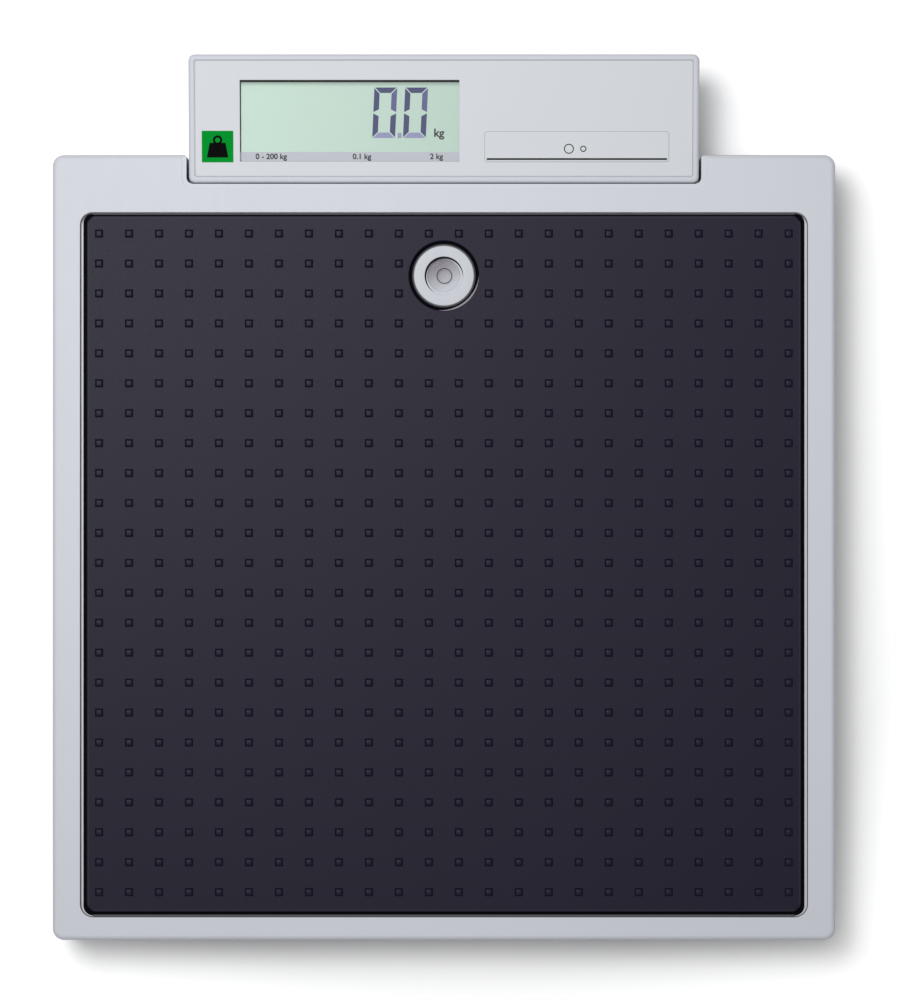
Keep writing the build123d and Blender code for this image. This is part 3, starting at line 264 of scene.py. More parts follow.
def levelLiquid(name, deep, light, middle, reach, aim, look):
    # clear liquid with painted shade: darker on the side away from aim, where the ring's wall shades it;
    # middle and reach in millimetres
    material = clearPlastic(name, light, *look)
    tree = material.node_tree
    shift = {0: objectPlace(tree), 1: (0, middle * mm, 0)}
    centred = shaderNode(tree, "VectorMath", shift, operation="SUBTRACT").outputs[0]
    along = shaderNode(tree, "VectorMath", {0: centred, 1: (cos(aim), sin(aim), 0)}, operation="DOT_PRODUCT")
    # how far into the painted shade the place lies
    depth = rangeOf(tree, along.outputs["Value"], 0, 1, -reach * mm, reach * mm)
    return wired(material, colourBetween(tree, depth, deep, light))


def circuitBoard(name, lacquer, copper):
    # lacquered board with tracks showing through
    coat = {"Coat Weight": 0.3, "Coat Roughness": 0.1}
    material, tree = newMaterial(name, lacquer, roughness=0.32, more=coat)
    place = objectPlace(tree)
    tracks = shaderNode(tree, "TexBrick", {
        "Vector": place, "Scale": 120.0, "Mortar Size": 0.12, "Mortar Smooth": 0.1, "Brick Width": 1.3,
        "Row Height": 0.22,
    })
    cloud = noiseValue(tree, place, *blotch["boardCloud"])
    base = blotchy(tree, lacquer, cloud, *tone["boardCloud"])
    lines = tracks.outputs["Fac"]
    raised = bumpFrom(tree, lines, relief["boardTracks"], strength=0.6)
    return wired(material, colourBetween(tree, lines, copper, base), None, raised)


def printedInk(name, colour, roughness=0.65, specular=0.06):
    # screen-printed ink with slightly uneven cover
    material, tree = newMaterial(name, colour, roughness, specular)
    cover = noiseValue(tree, objectPlace(tree), *blotch["inkCover"])
    uneven = blotchy(tree, colour, cover, *tone["inkCover"])
    return wired(material, uneven, None, bumpFrom(tree, cover, relief["inkCover"]))


def liquidCrystal(name, left, right, slopeFromTo, rimFromTo):
    # pale reflective display, a little darker to the right, with painted shade along its rear edge where the
    # window's rear wall shades it, and with very fine cells; both spans in millimetres
    material, tree = newMaterial(name, left, roughness=0.3, specular=0.12)
    (cloudTone, cloudShown), (rimTone, rimShown) = patch["displayCloud"], patch["displayRim"]
    place, parts = objectParts(tree)
    across = rangeOf(tree, parts[0], 0, 1, *(x * mm for x in slopeFromTo))
    slope = colourBetween(tree, across, left, right)
    cloud = noiseValue(tree, place, *blotch["displayCloud"])
    uneven = patchy(tree, slope, cloud, shade(left, cloudTone), cloudShown)
    # painted shade along the rear edge
    rim = rangeOf(tree, parts[1], 0, rimShown, *(y * mm for y in rimFromTo))
    cells = noiseValue(tree, place, *blotch["displayCells"])
    sealed = colourBetween(tree, rim, uneven, shade(left, rimTone))
    return wired(material, sealed, None, bumpFrom(tree, cells, relief["displayCells"]))


def wrappedCell(name, body, band, bandFromTo):
    # printed battery sleeve: dark body with a lighter band behind bandFromTo, in millimetres
    material, tree = newMaterial(name, body, roughness=0.28, more={"Metallic": 0.4, "Coat Weight": 0.4})
    scuffTone, scuffShown = patch["sleeveScuff"]
    place, parts = objectParts(tree)
    edge = rangeOf(tree, parts[1], 0, 1, *(y * mm for y in bandFromTo))
    scuff = noiseValue(tree, place, *blotch["sleeveScuff"])
    sleeve = colourBetween(tree, edge, body, band)
    worn = patchy(tree, sleeve, scuff, shade(body, scuffTone), scuffShown)
    return wired(material, worn, None, bumpFrom(tree, scuff, relief["sleeveScuff"]))


plastics = {   # colour, roughness, grain, its depth, mottle, shine
    "caseGrey": ((0.560, 0.580, 0.630), 0.50, 0.45, 0.010, 0.010),
    "foilGrey": ((0.590, 0.610, 0.640), 0.45, 0.25, 0.004, 0.008),
    "ringGrey": ((0.466, 0.486, 0.530), 0.38, 0.30, 0.003, 0.010),
    "trayGrey": ((0.480, 0.490, 0.530), 0.55, 0.60, 0.030, 0.020),
    "wheelBlack": ((0.022, 0.022, 0.025), 0.38, 0.40, 0.010, 0.060),
    "chipBlack": ((0.018, 0.018, 0.020), 0.55, 0.20, 0.010, 0.050),
    "connectorWhite": ((0.720, 0.700, 0.640), 0.40, 0.30, 0.006, 0.015),
    "switchWhite": ((0.700, 0.700, 0.690), 0.35, 0.30, 0.005, 0.015),
    "stripGrey": ((0.450, 0.468, 0.515), 0.45, 0.20, 0.003, 0.010),
    "gaugeWhite": ((0.740, 0.740, 0.700), 0.60, 0.50, 0.040, 0.030),
    # painted shade: the level's bezel edge and the mat's ledge at rear and front
    "collarGrey": ((0.085, 0.085, 0.095), 0.5, 0.30, 0.003, 0.03, 0.12),
}
rubbers = {   # colour, roughness, grain, its depth, shine
    # painted shade in the gaps round the mat
    "sealBlack": ((0.0018, 0.0016, 0.0026), 0.75, 0.30, 0.020, 0.03),
    # painted shade along the recess's inner edge
    "lipGrey": ((0.075, 0.068, 0.078), 0.7, 0.30, 0.010, 0.05),
    "padRubber": ((0.014, 0.014, 0.016), 0.62, 0.35, 0.030),
    "gasketFoam": ((0.012, 0.012, 0.014), 0.80, 0.60, 0.120),
    "leadGrey": ((0.230, 0.230, 0.250), 0.45, 0.40, 0.010),
    # painted highlight on the mat's hole edge
    "edgeGrey": ((0.280, 0.255, 0.300), 0.7, 0.30, 0.005, 0.05),
}
metals = {   # colour, roughness, direction of the streaks
    "plateSteel": ((0.560, 0.570, 0.590),),
    "cellAluminium": ((0.660, 0.670, 0.690), 0.28, (40, 1, 1)),
    "contactNickel": ((0.620, 0.610, 0.580), 0.22, (12, 12, 1)),
    "screwZinc": ((0.560, 0.555, 0.540), 0.30, (6, 6, 1)),
}
clears = {   # tint, cover, roughness, haze, shine
    "windowClear": ((0.90, 0.92, 0.92), 0.02, 0.05, 3.0, 0.18),
    "vialClear": ((0.86, 0.87, 0.90), 0.12, 0.30, 3.0, 0.1),
}
inks = {   # colour, roughness, shine
    "segmentDark": ((0.066, 0.070, 0.165),),
    "segmentMid": ((0.120, 0.120, 0.270),),
    "segmentPale": ((0.290, 0.295, 0.480),),
    # black print; it also paints the shadow at the display window's rear and left edges
    "inkBlack": ((0.0025, 0.0025, 0.0030), 0.65, 0.02),
    "inkGrey": ((0.040, 0.042, 0.048),),
    # painted shade in the gap round the front foil
    "seatGrey": ((0.370, 0.385, 0.415),),
    # painted shade at the vial's edge
    "gapGrey": ((0.014, 0.012, 0.016), 0.7, 0.03),
    "labelGreen": ((0.001, 0.260, 0.026), 0.65, 0.02),
}
finish = {}
for maker, table in (
    (mouldedPlastic, plastics), (mouldedRubber, rubbers), (platedSteel, metals), (clearPlastic, clears),
    (printedInk, inks),
):
    for name, values in table.items():
        finish[name] = maker(name, *values)
finish["boardGreen"] = circuitBoard("boardGreen", (0.010, 0.085, 0.035), (0.060, 0.240, 0.090))
finish["cellWrap"] = wrappedCell("cellWrap", (0.020, 0.035, 0.100), (0.620, 0.560, 0.400), (-84, -83.5))
print("finishes made:", len(finish))


# small helpers for meshes

def newObject(name, mesh):
    obj = bpy.data.objects.new(name, mesh)
    bpy.context.scene.collection.objects.link(obj)
    return obj


def meshOf(name, points, faces):
    # points in millimetres
    mesh = bpy.data.meshes.new(name)
    mesh.from_pydata([Vector(point) * mm for point in points], [], faces)
    return mesh


def outward(mesh):
    bm = bmesh.new()
    bm.from_mesh(mesh)
    bmesh.ops.remove_doubles(bm, verts=bm.verts, dist=0.0005 * mm)
    bmesh.ops.recalc_face_normals(bm, faces=bm.faces)
    bm.to_mesh(mesh)
    bm.free()


def flatten(obj):
    # turns the object and its modifiers into one plain mesh
    graph = bpy.context.evaluated_depsgraph_get()
    mesh = bpy.data.meshes.new_from_object(obj.evaluated_get(graph), depsgraph=graph)
    if obj.type == "MESH":
        obj.modifiers.clear()
        obj.data = mesh
        return obj
    name = obj.name
    bpy.data.objects.remove(obj)
    return newObject(name, mesh)


def softShade(obj, sharpAngle):
    obj.data.shade_smooth()
    obj.data.set_sharp_from_angle(angle=radians(sharpAngle))
    modifier = obj.modifiers.new("even", "WEIGHTED_NORMAL")
    modifier.keep_sharp = True
    modifier.weight = 90
    return flatten(obj)


def paint(obj, material):
    obj.data.materials.clear()
    obj.data.materials.append(finish[material])


def settle(obj, material, slotName, *replaced, body="platform"):
    # last step for every new piece
    paint(obj, material)
    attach(obj, body)
    if replaced:
        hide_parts(*replaced)


def joined(name, objects):
    bm = bmesh.new()
    for obj in objects:
        bm.from_mesh(obj.data)
    mesh = bpy.data.meshes.new(name)
    bm.to_mesh(mesh)
    bm.free()
    for obj in objects:
        bpy.data.objects.remove(obj)
    return newObject(name, mesh)


def softCopy(node, name, material, slotName, rounding=0.0, body="platform"):
    # a merged, smooth-shaded copy of a CAD node stands in its place, its hard edges a little rounded
    bm = bmesh.new()
    bm.from_mesh(cadNodes[node].data)
    bmesh.ops.remove_doubles(bm, verts=bm.verts, dist=0.002 * mm)
    bmesh.ops.dissolve_limit(bm, angle_limit=radians(0.4), verts=bm.verts, edges=bm.edges)
    mesh = bpy.data.meshes.new(name)
    bm.to_mesh(mesh)
    bm.free()
    obj = newObject(name, mesh)
    if rounding:
        bevel = obj.modifiers.new("rounding", "BEVEL")
        bevel.width = rounding * mm
        bevel.segments = 3
        bevel.limit_method = "ANGLE"
        bevel.angle_limit = radians(50)
        bevel.miter_outer = "MITER_ARC"
        flatten(obj)
    softShade(obj, 32)
    settle(obj, material, slotName, node, body=body)


def turned(name, rows, steps, centre=(0, 0), pattern=None, ring=False):
    # rows of (radius, height, amount); pattern(turn, height) times amount is taken off the radius
    points, faces, starts = [], [], []
    for row in rows:
        radius, height, amount = (*row, 0)[:3]
        starts.append((len(points), radius == 0))
        for step in range(1 if radius == 0 else steps):
            turn = 2 * pi * step / steps
            reach = radius - (amount * pattern(turn, height) if amount else 0)
            points.append((centre[0] + reach * cos(turn), centre[1] + reach * sin(turn), height))
    pairs = list(zip(starts, starts[1:]))
    if ring:
        pairs.append((starts[-1], starts[0]))
    for (low, lowPole), (high, highPole) in pairs:
        for step in range(steps):
            after = (step + 1) % steps
            corners = [low if lowPole else low + step, low if lowPole else low + after,
                       high if highPole else high + after, high if highPole else high + step]
            faces.append(list(dict.fromkeys(corners)))
    mesh = meshOf(name, points, faces)
    outward(mesh)
    return newObject(name, mesh)


def roundedBox(width, length, radius, x=0.0, y=0.0, steps=10):
    # outline of a rounded rectangle, anticlockwise
    points = []
    for quarter, (sx, sy) in enumerate(((1, 1), (-1, 1), (-1, -1), (1, -1))):
        cx = x + sx * (width / 2 - radius)
        cy = y + sy * (length / 2 - radius)
        for step in range(steps + 1 if radius else 1):
            turn = pi / 2 * (quarter + step / steps)
            points.append((cx + radius * cos(turn), cy + radius * sin(turn)))
    return points


def circleLine(radius, x=0.0, y=0.0, steps=96):
    turns = [2 * pi * k / steps for k in range(steps)]
    return [(x + radius * cos(turn), y + radius * sin(turn)) for turn in turns]


def ringLines(outer, inner, x, y, steps=96):
    return [circleLine(outer, x, y, steps), circleLine(inner, x, y, steps)]


def crescent(radius, width, aim, half, x, y, steps=48):
    # outline of a crescent inside a circle, widest at aim and gone at half an angle to either side
    turns = [aim + half * (2 * k / steps - 1) for k in range(steps + 1)]
    inside = [(turn, radius - width * cos((turn - aim) / half * pi / 2)) for turn in turns]
    rim = [(turn, radius) for turn in turns] + inside[-2:0:-1]
    return [(x + reach * cos(turn), y + reach * sin(turn)) for turn, reach in rim]


def plate(name, outlines, bottom, top, edge=0.0, rounding=5, place=None):
    # flat piece with rounded edges; the outlines after the first are holes
    curve = bpy.data.curves.new(name, "CURVE")
    curve.dimensions = "2D"
    curve.fill_mode = "BOTH"
    curve.bevel_depth = edge * mm
    curve.bevel_resolution = rounding - 1
    curve.offset = -edge * mm
    curve.extrude = ((top - bottom) / 2 - edge) * mm
    for outline in outlines:
        line = curve.splines.new("POLY")
        line.points.add(len(outline) - 1)
        for point, (x, y) in zip(line.points, outline):
            point.co = (x * mm, y * mm, 0, 1)
        line.use_cyclic_u = True
    obj = flatten(newObject(name, curve))
    obj.data.transform(Matrix.Translation((0, 0, (top + bottom) / 2 * mm)))
    outward(obj.data)
    if place is not None:
        obj.data.transform(place)
    return obj


def lettering(name, text, size, x, y, height, place, thick=0.02, bold=0.0):
    # flat printed text; size is the letter body in millimetres
    curve = bpy.data.curves.new(name, "FONT")
    curve.body = text
    curve.size = size * mm
    curve.align_x = "CENTER"
    curve.offset = bold * mm
    curve.extrude = thick / 2 * mm
    obj = flatten(newObject(name, curve))
    obj.data.transform(Matrix.Translation((x * mm, y * mm, height * mm)))
    obj.data.transform(place)
    return obj


# geometry node trees

def fieldTree(name, inputs):
    tree = bpy.data.node_groups.new(name, "GeometryNodeTree")
    tree.interface.new_socket("Geometry", in_out="OUTPUT", socket_type="NodeSocketGeometry")
    for label, kind in inputs:
        tree.interface.new_socket(label, in_out="INPUT", socket_type="NodeSocket" + kind)
    return tree, tree.nodes.new("NodeGroupInput"), tree.nodes.new("NodeGroupOutput")


def runField(obj, tree, values):
    # gives the modifier its inputs by socket identifier, then keeps the plain mesh
    modifier = obj.modifiers.new(tree.name, "NODES")
    modifier.node_group = tree
    for item in tree.interface.items_tree:
        if item.in_out == "INPUT" and item.name in values:
            modifier[item.identifier] = values[item.name]
    return flatten(obj)


def layCopies(tree, points, shape, end, beside=None):
    # the shape at every point, as plain mesh, with the geometry beside it if there is one
    source = fieldNode(tree, "ObjectInfo", {"Object": shape})
    laid = fieldNode(tree, "InstanceOnPoints", {"Points": points, "Instance": source.outputs["Geometry"]})
    both = fieldNode(tree, "JoinGeometry")
    for part in (laid.outputs[0], beside):
        if part is not None:
            tree.links.new(part, both.inputs[0])
    solid = fieldNode(tree, "RealizeInstances", {"Geometry": both.outputs[0]})
    tree.links.new(solid.outputs[0], end.inputs[0])


def scattered(name, shape, places):
    # copies of one shape at the places
    tree, start, end = fieldTree(name, [("Geometry", "Geometry"), ("Shape", "Object")])
    layCopies(tree, start.outputs["Geometry"], start.outputs["Shape"], end)
    spots = newObject(name, meshOf(name, places, []))
    runField(spots, tree, {"Shape": shape})
    bpy.data.objects.remove(shape)
    return spots


# where things are, in millimetres

overall = {
    "platformTop": 53.5,
    "recessTop": 51.9,
    "frameTop": 53.5,
    "headRear": 178.0,
    "headTop": 60.0,
    "tilt": radians(7),
    "ink": 0.03,
    "levelY": 89.3,
    "trayBottom": 17.0,
    "footX": 125.5,
    "footY": {-1: -146.0, 1: 106.0},
}
cornerNames = {(-1, -1): "front_left", (1, -1): "front_right", (-1, 1): "rear_left", (1, 1): "rear_right"}
headTilt = overall["tilt"]
headCorner = (0, overall["headRear"] * mm, overall["headTop"] * mm)
headPlace = Matrix.Translation(headCorner) @ Matrix.Rotation(headTilt, 4, "X")


def onHead(x, y, depth):
    # a point seen from above at x, y, laid on the head's slope at a depth: (across, along)
    return x, (y - overall["headRear"] - depth * sin(headTilt)) / cos(headTilt)


def printOn(outlines, height, name="print"):
    # a print on the head, at a height over its slope
    return plate(name, outlines, height, height + overall["ink"], place=headPlace)


# case: smooth copies of the moulded shells

caseParts = {
    "platform_cover": ("caseCover", "caseGrey", "case_grey", 0.25),
    "head_upper_shell": ("headTop", "caseGrey", "case_grey", 0.15),
    "head_lower_shell": ("headBottom", "caseGrey", "case_grey", 0.2),
    "base_tray": ("baseTray", "trayGrey", "tray_grey", 0.2),
    "carrier_plate": ("carrierPlate", "plateSteel", "plate_steel", 0.3),
}
for node, (name, material, slotName, rounding) in caseParts.items():
    softCopy(node, name, material, slotName, rounding)
print("case shells dressed")


# rubber mat with its field of studs

mat = {
    "width": 290.2,
    "length": 280.8,
    "middleY": -26.8,
    "thickness": 2.0,
    "corner": 4.0,
    "faceWidth": 287.3,
    "faceLength": 280.0,
    "faceMiddleY": -26.55,
    "faceCorner": 3.7,
    "edge": 0.6,
    # a near-black sheet under the mat's edge: painted shade in the gap round the mat
    "seal": 0.5,
    "shadeBand": 1.75,
    "shadeLap": 0.6,
    "shadeReach": 0.95,
    "shadeEdge": 0.1,
    # a dark line of painted shade along the recess's inner edge, and painted shade on the ledge at rear and
    # front
    "lipWidth": 292.9,
    "lipRear": 114.6,
    "lipFront": -168.8,
    "lipCorner": 5.3,
    "lipLine": 0.38,
    "lipThick": 0.2,
    "lipProud": 0.03,
    "lipEdge": 0.02,
    "ledgeShadeRear": 0.3,
    "ledgeShadeFront": 0.7,
    "ledgeShadeCorner": 0.1,
    "ledgeShadeLow": 0.01,
    "holeRadius": 13.8,
    "shadeBore": 12.4,
    "pitch": 12.06,
    "rowPitch": 12.04,
    "columns": 24,
    "rows": 23,
    "rowShift": 0.6,
    "studBase": 3.3,
    "studTop": 2.05,
    "studHeight": 0.8,
    "studSink": 0.15,
    "studBevel": 0.10,
    "clearOfLevel": 15.5,
    "colour": (0.0024, 0.0016, 0.0115),
    "worn": (0.0036, 0.0031, 0.0112),
    "wornFrom": (54.6, 54.66),
    # colour of the painted highlight along the face's rounded edge, and how far in it reaches
    "rim": (0.0190, 0.0175, 0.0310),
    "rimBand": (1.0, 0.5),
    "roughness": 0.41,
    "shine": 0.094,
}
matTop = overall["recessTop"] + mat["thickness"]
finish["matRubber"] = treadRubber(
    "matRubber", mat["colour"], mat["worn"], mat["wornFrom"],
    (mat["faceWidth"], mat["faceLength"], mat["faceMiddleY"]),
    mat["rim"], mat["rimBand"], mat["roughness"], mat["shine"],
)


def studShape():
    # truncated pyramid with softened edges, a little sunk into the mat
    half = mat["studBase"] / 2
    tip = mat["studTop"] / 2
    flare = half + (half - tip) * mat["studSink"] / mat["studHeight"]
    corners = ((-1, -1), (1, -1), (1, 1), (-1, 1))
    points = [(sx * flare, sy * flare, -mat["studSink"]) for sx, sy in corners]
    points += [(sx * tip, sy * tip, mat["studHeight"]) for sx, sy in corners]
    faces = [(3, 2, 1, 0), (4, 5, 6, 7)] + [(k, (k + 1) % 4, 4 + (k + 1) % 4, 4 + k) for k in range(4)]
    bm = bmesh.new()
    mesh = meshOf("studShape", points, faces)
    bm.from_mesh(mesh)
    upper = [edge for edge in bm.edges if max(v.co.z for v in edge.verts) > 0]
    bmesh.ops.bevel(bm, geom=upper, offset=mat["studBevel"] * mm, segments=2, affect="EDGES", profile=0.5)
    bm.to_mesh(mesh)
    bm.free()
    mesh.shade_smooth()
    mesh.set_sharp_from_angle(angle=radians(40))
    return newObject("studShape", mesh)


def studTree():
    tree, start, end = fieldTree("studField", [
        ("Geometry", "Geometry"), ("Stud", "Object"), ("Pitch", "Float"), ("RowPitch", "Float"),
        ("Columns", "Int"), ("Rows", "Int"), ("Middle", "Vector"), ("Level", "Vector"), ("Clear", "Float"),
    ])
    inputs = start.outputs
    sizes = []
    for count, pitch in (("Columns", "Pitch"), ("Rows", "RowPitch")):
        less = shaderNode(tree, "Math", {0: inputs[count], 1: 1.0}, operation="SUBTRACT")
        size = shaderNode(tree, "Math", {0: less.outputs[0], 1: inputs[pitch]}, operation="MULTIPLY")
        sizes.append(size.outputs[0])
    grid = fieldNode(tree, "MeshGrid", {
        "Size X": sizes[0], "Size Y": sizes[1], "Vertices X": inputs["Columns"], "Vertices Y": inputs["Rows"],
    })
    moved = fieldNode(tree, "Transform", {"Geometry": grid.outputs[0], "Translation": inputs["Middle"]})
    place = fieldNode(tree, "InputPosition").outputs[0]
    away = shaderNode(tree, "VectorMath", {0: place, 1: inputs["Level"]}, operation="DISTANCE")
    near = shaderNode(tree, "Math", {0: away.outputs["Value"], 1: inputs["Clear"]}, operation="LESS_THAN")
    kept = fieldNode(tree, "DeleteGeometry", {"Geometry": moved.outputs[0], "Selection": near.outputs[0]})
    layCopies(tree, kept.outputs[0], inputs["Stud"], end, inputs["Geometry"])
    return tree


def framed(width, length, corner, middle, inset, steps):
    # a rounded rectangle and the same one inset, centred on the long axis
    inner = roundedBox(width - 2 * inset, length - 2 * inset, corner - inset, 0, middle, steps)
    return [roundedBox(width, length, corner, 0, middle, steps), inner]


levelPlace = (0, overall["levelY"])
shadeSheetTop = overall["recessTop"] + mat["seal"]
matPiece = plate("studdedMat", [
    roundedBox(mat["faceWidth"], mat["faceLength"], mat["faceCorner"], 0, mat["faceMiddleY"], 14),
    circleLine(mat["holeRadius"], *levelPlace, 128),
], shadeSheetTop, matTop, mat["edge"], 7)
softShade(matPiece, 40)
stud = studShape()
runField(matPiece, studTree(), {
    "Stud": stud,
    "Pitch": mat["pitch"] * mm,
    "RowPitch": mat["rowPitch"] * mm,
    "Columns": mat["columns"],
    "Rows": mat["rows"],
    "Middle": (0, (mat["middleY"] + mat["rowShift"]) * mm, matTop * mm),
    "Level": (levelPlace[0], levelPlace[1] * mm, matTop * mm),
    "Clear": mat["clearOfLevel"] * mm,
})
bpy.data.objects.remove(stud)
settle(matPiece, "matRubber", "mat_rubber", "tread_mat")
# a near-black sheet round the mat and under the level's hole: painted shade for the shadowed gap between mat
# and recess wall, reaching over the ledge at rear and front, where the ledge lies in shade
gapShadePiece = plate("matSeal", [
    roundedBox(mat["width"], mat["length"] + 2 * mat["shadeReach"], mat["corner"], 0, mat["middleY"], 14),
    roundedBox(
        mat["width"] - 2 * mat["shadeBand"], mat["length"] - 2 * mat["shadeBand"],
        mat["corner"] - mat["shadeBand"], 0, mat["middleY"], 14,
    ),
    *ringLines(mat["holeRadius"] + mat["shadeLap"], mat["shadeBore"], *levelPlace, 128),
], overall["recessTop"], shadeSheetTop, mat["shadeEdge"], 3)
softShade(gapShadePiece, 40)
settle(gapShadePiece, "sealBlack", "mat_rubber")
# a dark line round the recess's inner edge: painted shade where the edge falls into shadow
lipLength = mat["lipRear"] - mat["lipFront"]
lipMiddle = (mat["lipRear"] + mat["lipFront"]) / 2
lipTop = overall["frameTop"] + mat["lipProud"]
lipLines = framed(mat["lipWidth"], lipLength, mat["lipCorner"], lipMiddle, mat["lipLine"], 10)
lipShadePiece = plate("matLip", lipLines, lipTop - mat["lipThick"], lipTop, mat["lipEdge"], 2)
settle(lipShadePiece, "lipGrey", "mat_rubber")
# dark strips on the ledge at rear and front: painted shade where the ledge lies in the wall's shadow
ledgeShadeWidth = mat["lipWidth"] - 2 * mat["lipCorner"]
ledgeShadeLines = []
for side, start, length in ((-1, mat["lipRear"], mat["ledgeShadeRear"]), (1, mat["lipFront"], mat["ledgeShadeFront"])):
    middle = start + side * (mat["lipLine"] + length / 2)
    ledgeShadeLines.append(roundedBox(ledgeShadeWidth, length, mat["ledgeShadeCorner"], 0, middle, 3))
ledgeShadePiece = plate(
    "matLipFill", ledgeShadeLines, lipTop - mat["lipThick"], lipTop - mat["ledgeShadeLow"], mat["lipEdge"], 2,
)
settle(ledgeShadePiece, "collarGrey", "mat_rubber")
print("mat faces:", len(matPiece.data.polygons))


# spirit level

level = {
    "ringRadius": 12.15,
    "ringHeight": 2.3,
    "ringEdge": ((0, 0.5), (0.08, 0.3), (0.2, 0.08), (0.42, 0)),   # in from the rim, under the top
    "boreEdge": ((0.22, 0), (0.06, 0.06), (0, 0.22)),   # out from the bore, under the top
    # a dark ring of painted shade round the bezel's outer bevel
    "bevelShadeRadius": 12.75,
    "bevelShadeGap": 0.02,
    "bevelShadeFlat": 0.25,
    "collarDrop": 0.4,
    "collarSlope": 0.35,
    "flangeLift": 0.5,
    "seatRadius": 11.6,
    "bore": 7.7,
    "barrelRadius": 10.8,
    "barrelDepth": 7.5,
    "barrelBevel": 0.4,
    "floor": 1.5,
    "vialDrop": 1.3,
    "vialWall": 0.9,
    "vialRoof": 1.2,
    "vialEdge": ((0, 0.3), (0.1, 0.08), (0.35, 0)),   # in from the bore, under the top
    "seatInner": 6.75,
    "seatOuter": 7.68,
    "seatThick": 0.05,   # of the painted shade crescent too
    # a dark crescent of painted shade at the vial's edge, widest at aim
    "gapWidth": 0.9,
    "gapAim": radians(118),
    "gapHalf": radians(124),
    # a pale crescent on the mat's hole edge: a painted highlight
    "lipRadius": 14.05,
    "lipWidth": 0.72,
    "lipAim": radians(-50),
    "lipHalf": radians(50),
    "lipDepth": 0.3,
    "circleRadius": 2.98,
    "circleLine": 0.30,
    "circleShift": 0.15,
    "bubbleRadius": 2.55,
    "bubbleDepth": 0.8,
    "bubbleRim": 0.4,
    "bubbleTurns": (0.0, 0.2, 0.5, 0.9, 1.3),
    "liquidGap": 0.03,
    # painted shade across the liquid: shaded colour, lit colour, its reach and the lit side's direction
    "liquidDeep": (0.067, 0.026, 0.072),
    "liquidLight": (0.585, 0.610, 0.675),
    "liquidReach": 5.0,
    "liquidAim": radians(-62),
    "liquidLook": (0.85, 0.45, 3.0, 0.1),   # cover, roughness, haze, shine
}
finish["levelFluid"] = levelLiquid(
    "levelFluid", level["liquidDeep"], level["liquidLight"], overall["levelY"], level["liquidReach"],
    level["liquidAim"], level["liquidLook"],
)
recess = overall["recessTop"]
ring, bore, barrel = level["ringRadius"], level["bore"], level["barrelRadius"]
ringTop = recess + level["ringHeight"]
flange = recess + level["flangeLift"]
barrelBottom = recess - level["barrelDepth"]
vialBottom = barrelBottom + level["floor"]
vialTop = ringTop - level["vialDrop"]
bevel = level["barrelBevel"]
ringRows = [
    (0, barrelBottom), (barrel - bevel, barrelBottom), (barrel, barrelBottom + bevel), (barrel, recess),
    (level["seatRadius"], recess), (level["seatRadius"], flange), (ring, flange),
]
ringRows += [(ring - inset, ringTop - drop) for inset, drop in level["ringEdge"]]
ringRows += [(bore + inset, ringTop - drop) for inset, drop in level["boreEdge"]]
ringRows += [(bore, vialBottom), (0, vialBottom)]
levelRing = softShade(turned("levelRing", ringRows, 128, levelPlace), 28)
settle(levelRing, "ringGrey", "level_grey", "level_cup")
# a dark ring round the bezel: painted shade on its outer bevel
bevelShadeHigh = ringTop - level["collarDrop"]
bevelShadeInner = ring + level["bevelShadeGap"]
bevelShadeRows = [
    (bevelShadeInner, flange), (level["bevelShadeRadius"], flange),
    (level["bevelShadeRadius"], bevelShadeHigh - level["collarSlope"]), (ring + level["bevelShadeFlat"], bevelShadeHigh),
    (bevelShadeInner, bevelShadeHigh),
]
bevelShade = softShade(turned("levelCollar", bevelShadeRows, 128, levelPlace, ring=True), 28)
settle(bevelShade, "collarGrey", "level_grey")
inner = bore - level["vialWall"]
roof = vialTop - level["vialRoof"]
vialRows = [(inner, vialBottom), (bore, vialBottom)]
vialRows += [(bore - inset, vialTop - drop) for inset, drop in level["vialEdge"]]
vialRows += [(0, vialTop), (0, roof), (inner, roof)]
vial = softShade(turned("levelVial", vialRows, 96, levelPlace, ring=True), 28)
settle(vial, "vialClear", "vial_clear", "level_vial")
fluidTop = roof - level["liquidGap"]
fluidLow = vialBottom + level["liquidGap"]
fluidRadius = inner - level["liquidGap"]
bubble, deep = level["bubbleRadius"], level["bubbleDepth"]
fluidRows = [
    (0, fluidLow), (fluidRadius, fluidLow), (fluidRadius, fluidTop), (bubble + level["bubbleRim"], fluidTop),
]
fluidRows += [(bubble * cos(turn), fluidTop - deep * sin(turn)) for turn in level["bubbleTurns"]]
fluidRows.append((0, fluidTop - deep))
fluid = softShade(turned("levelFluid", fluidRows, 96, levelPlace), 28)
settle(fluid, "levelFluid", "level_fluid", "level_liquid")
thin = level["seatThick"]
seatLines = ringLines(level["seatOuter"], level["seatInner"], *levelPlace)
settle(plate("levelSeat", seatLines, vialTop, vialTop + thin), "ringGrey", "level_grey")
# a dark crescent at the vial's edge, widest at the upper left: painted shade where the bore's wall shades the
# vial
gapLine = crescent(level["seatOuter"], level["gapWidth"], level["gapAim"], level["gapHalf"], *levelPlace)
gapPiece = plate("levelGap", [gapLine], vialTop + thin, vialTop + 2 * thin)
settle(gapPiece, "gapGrey", "level_grey")
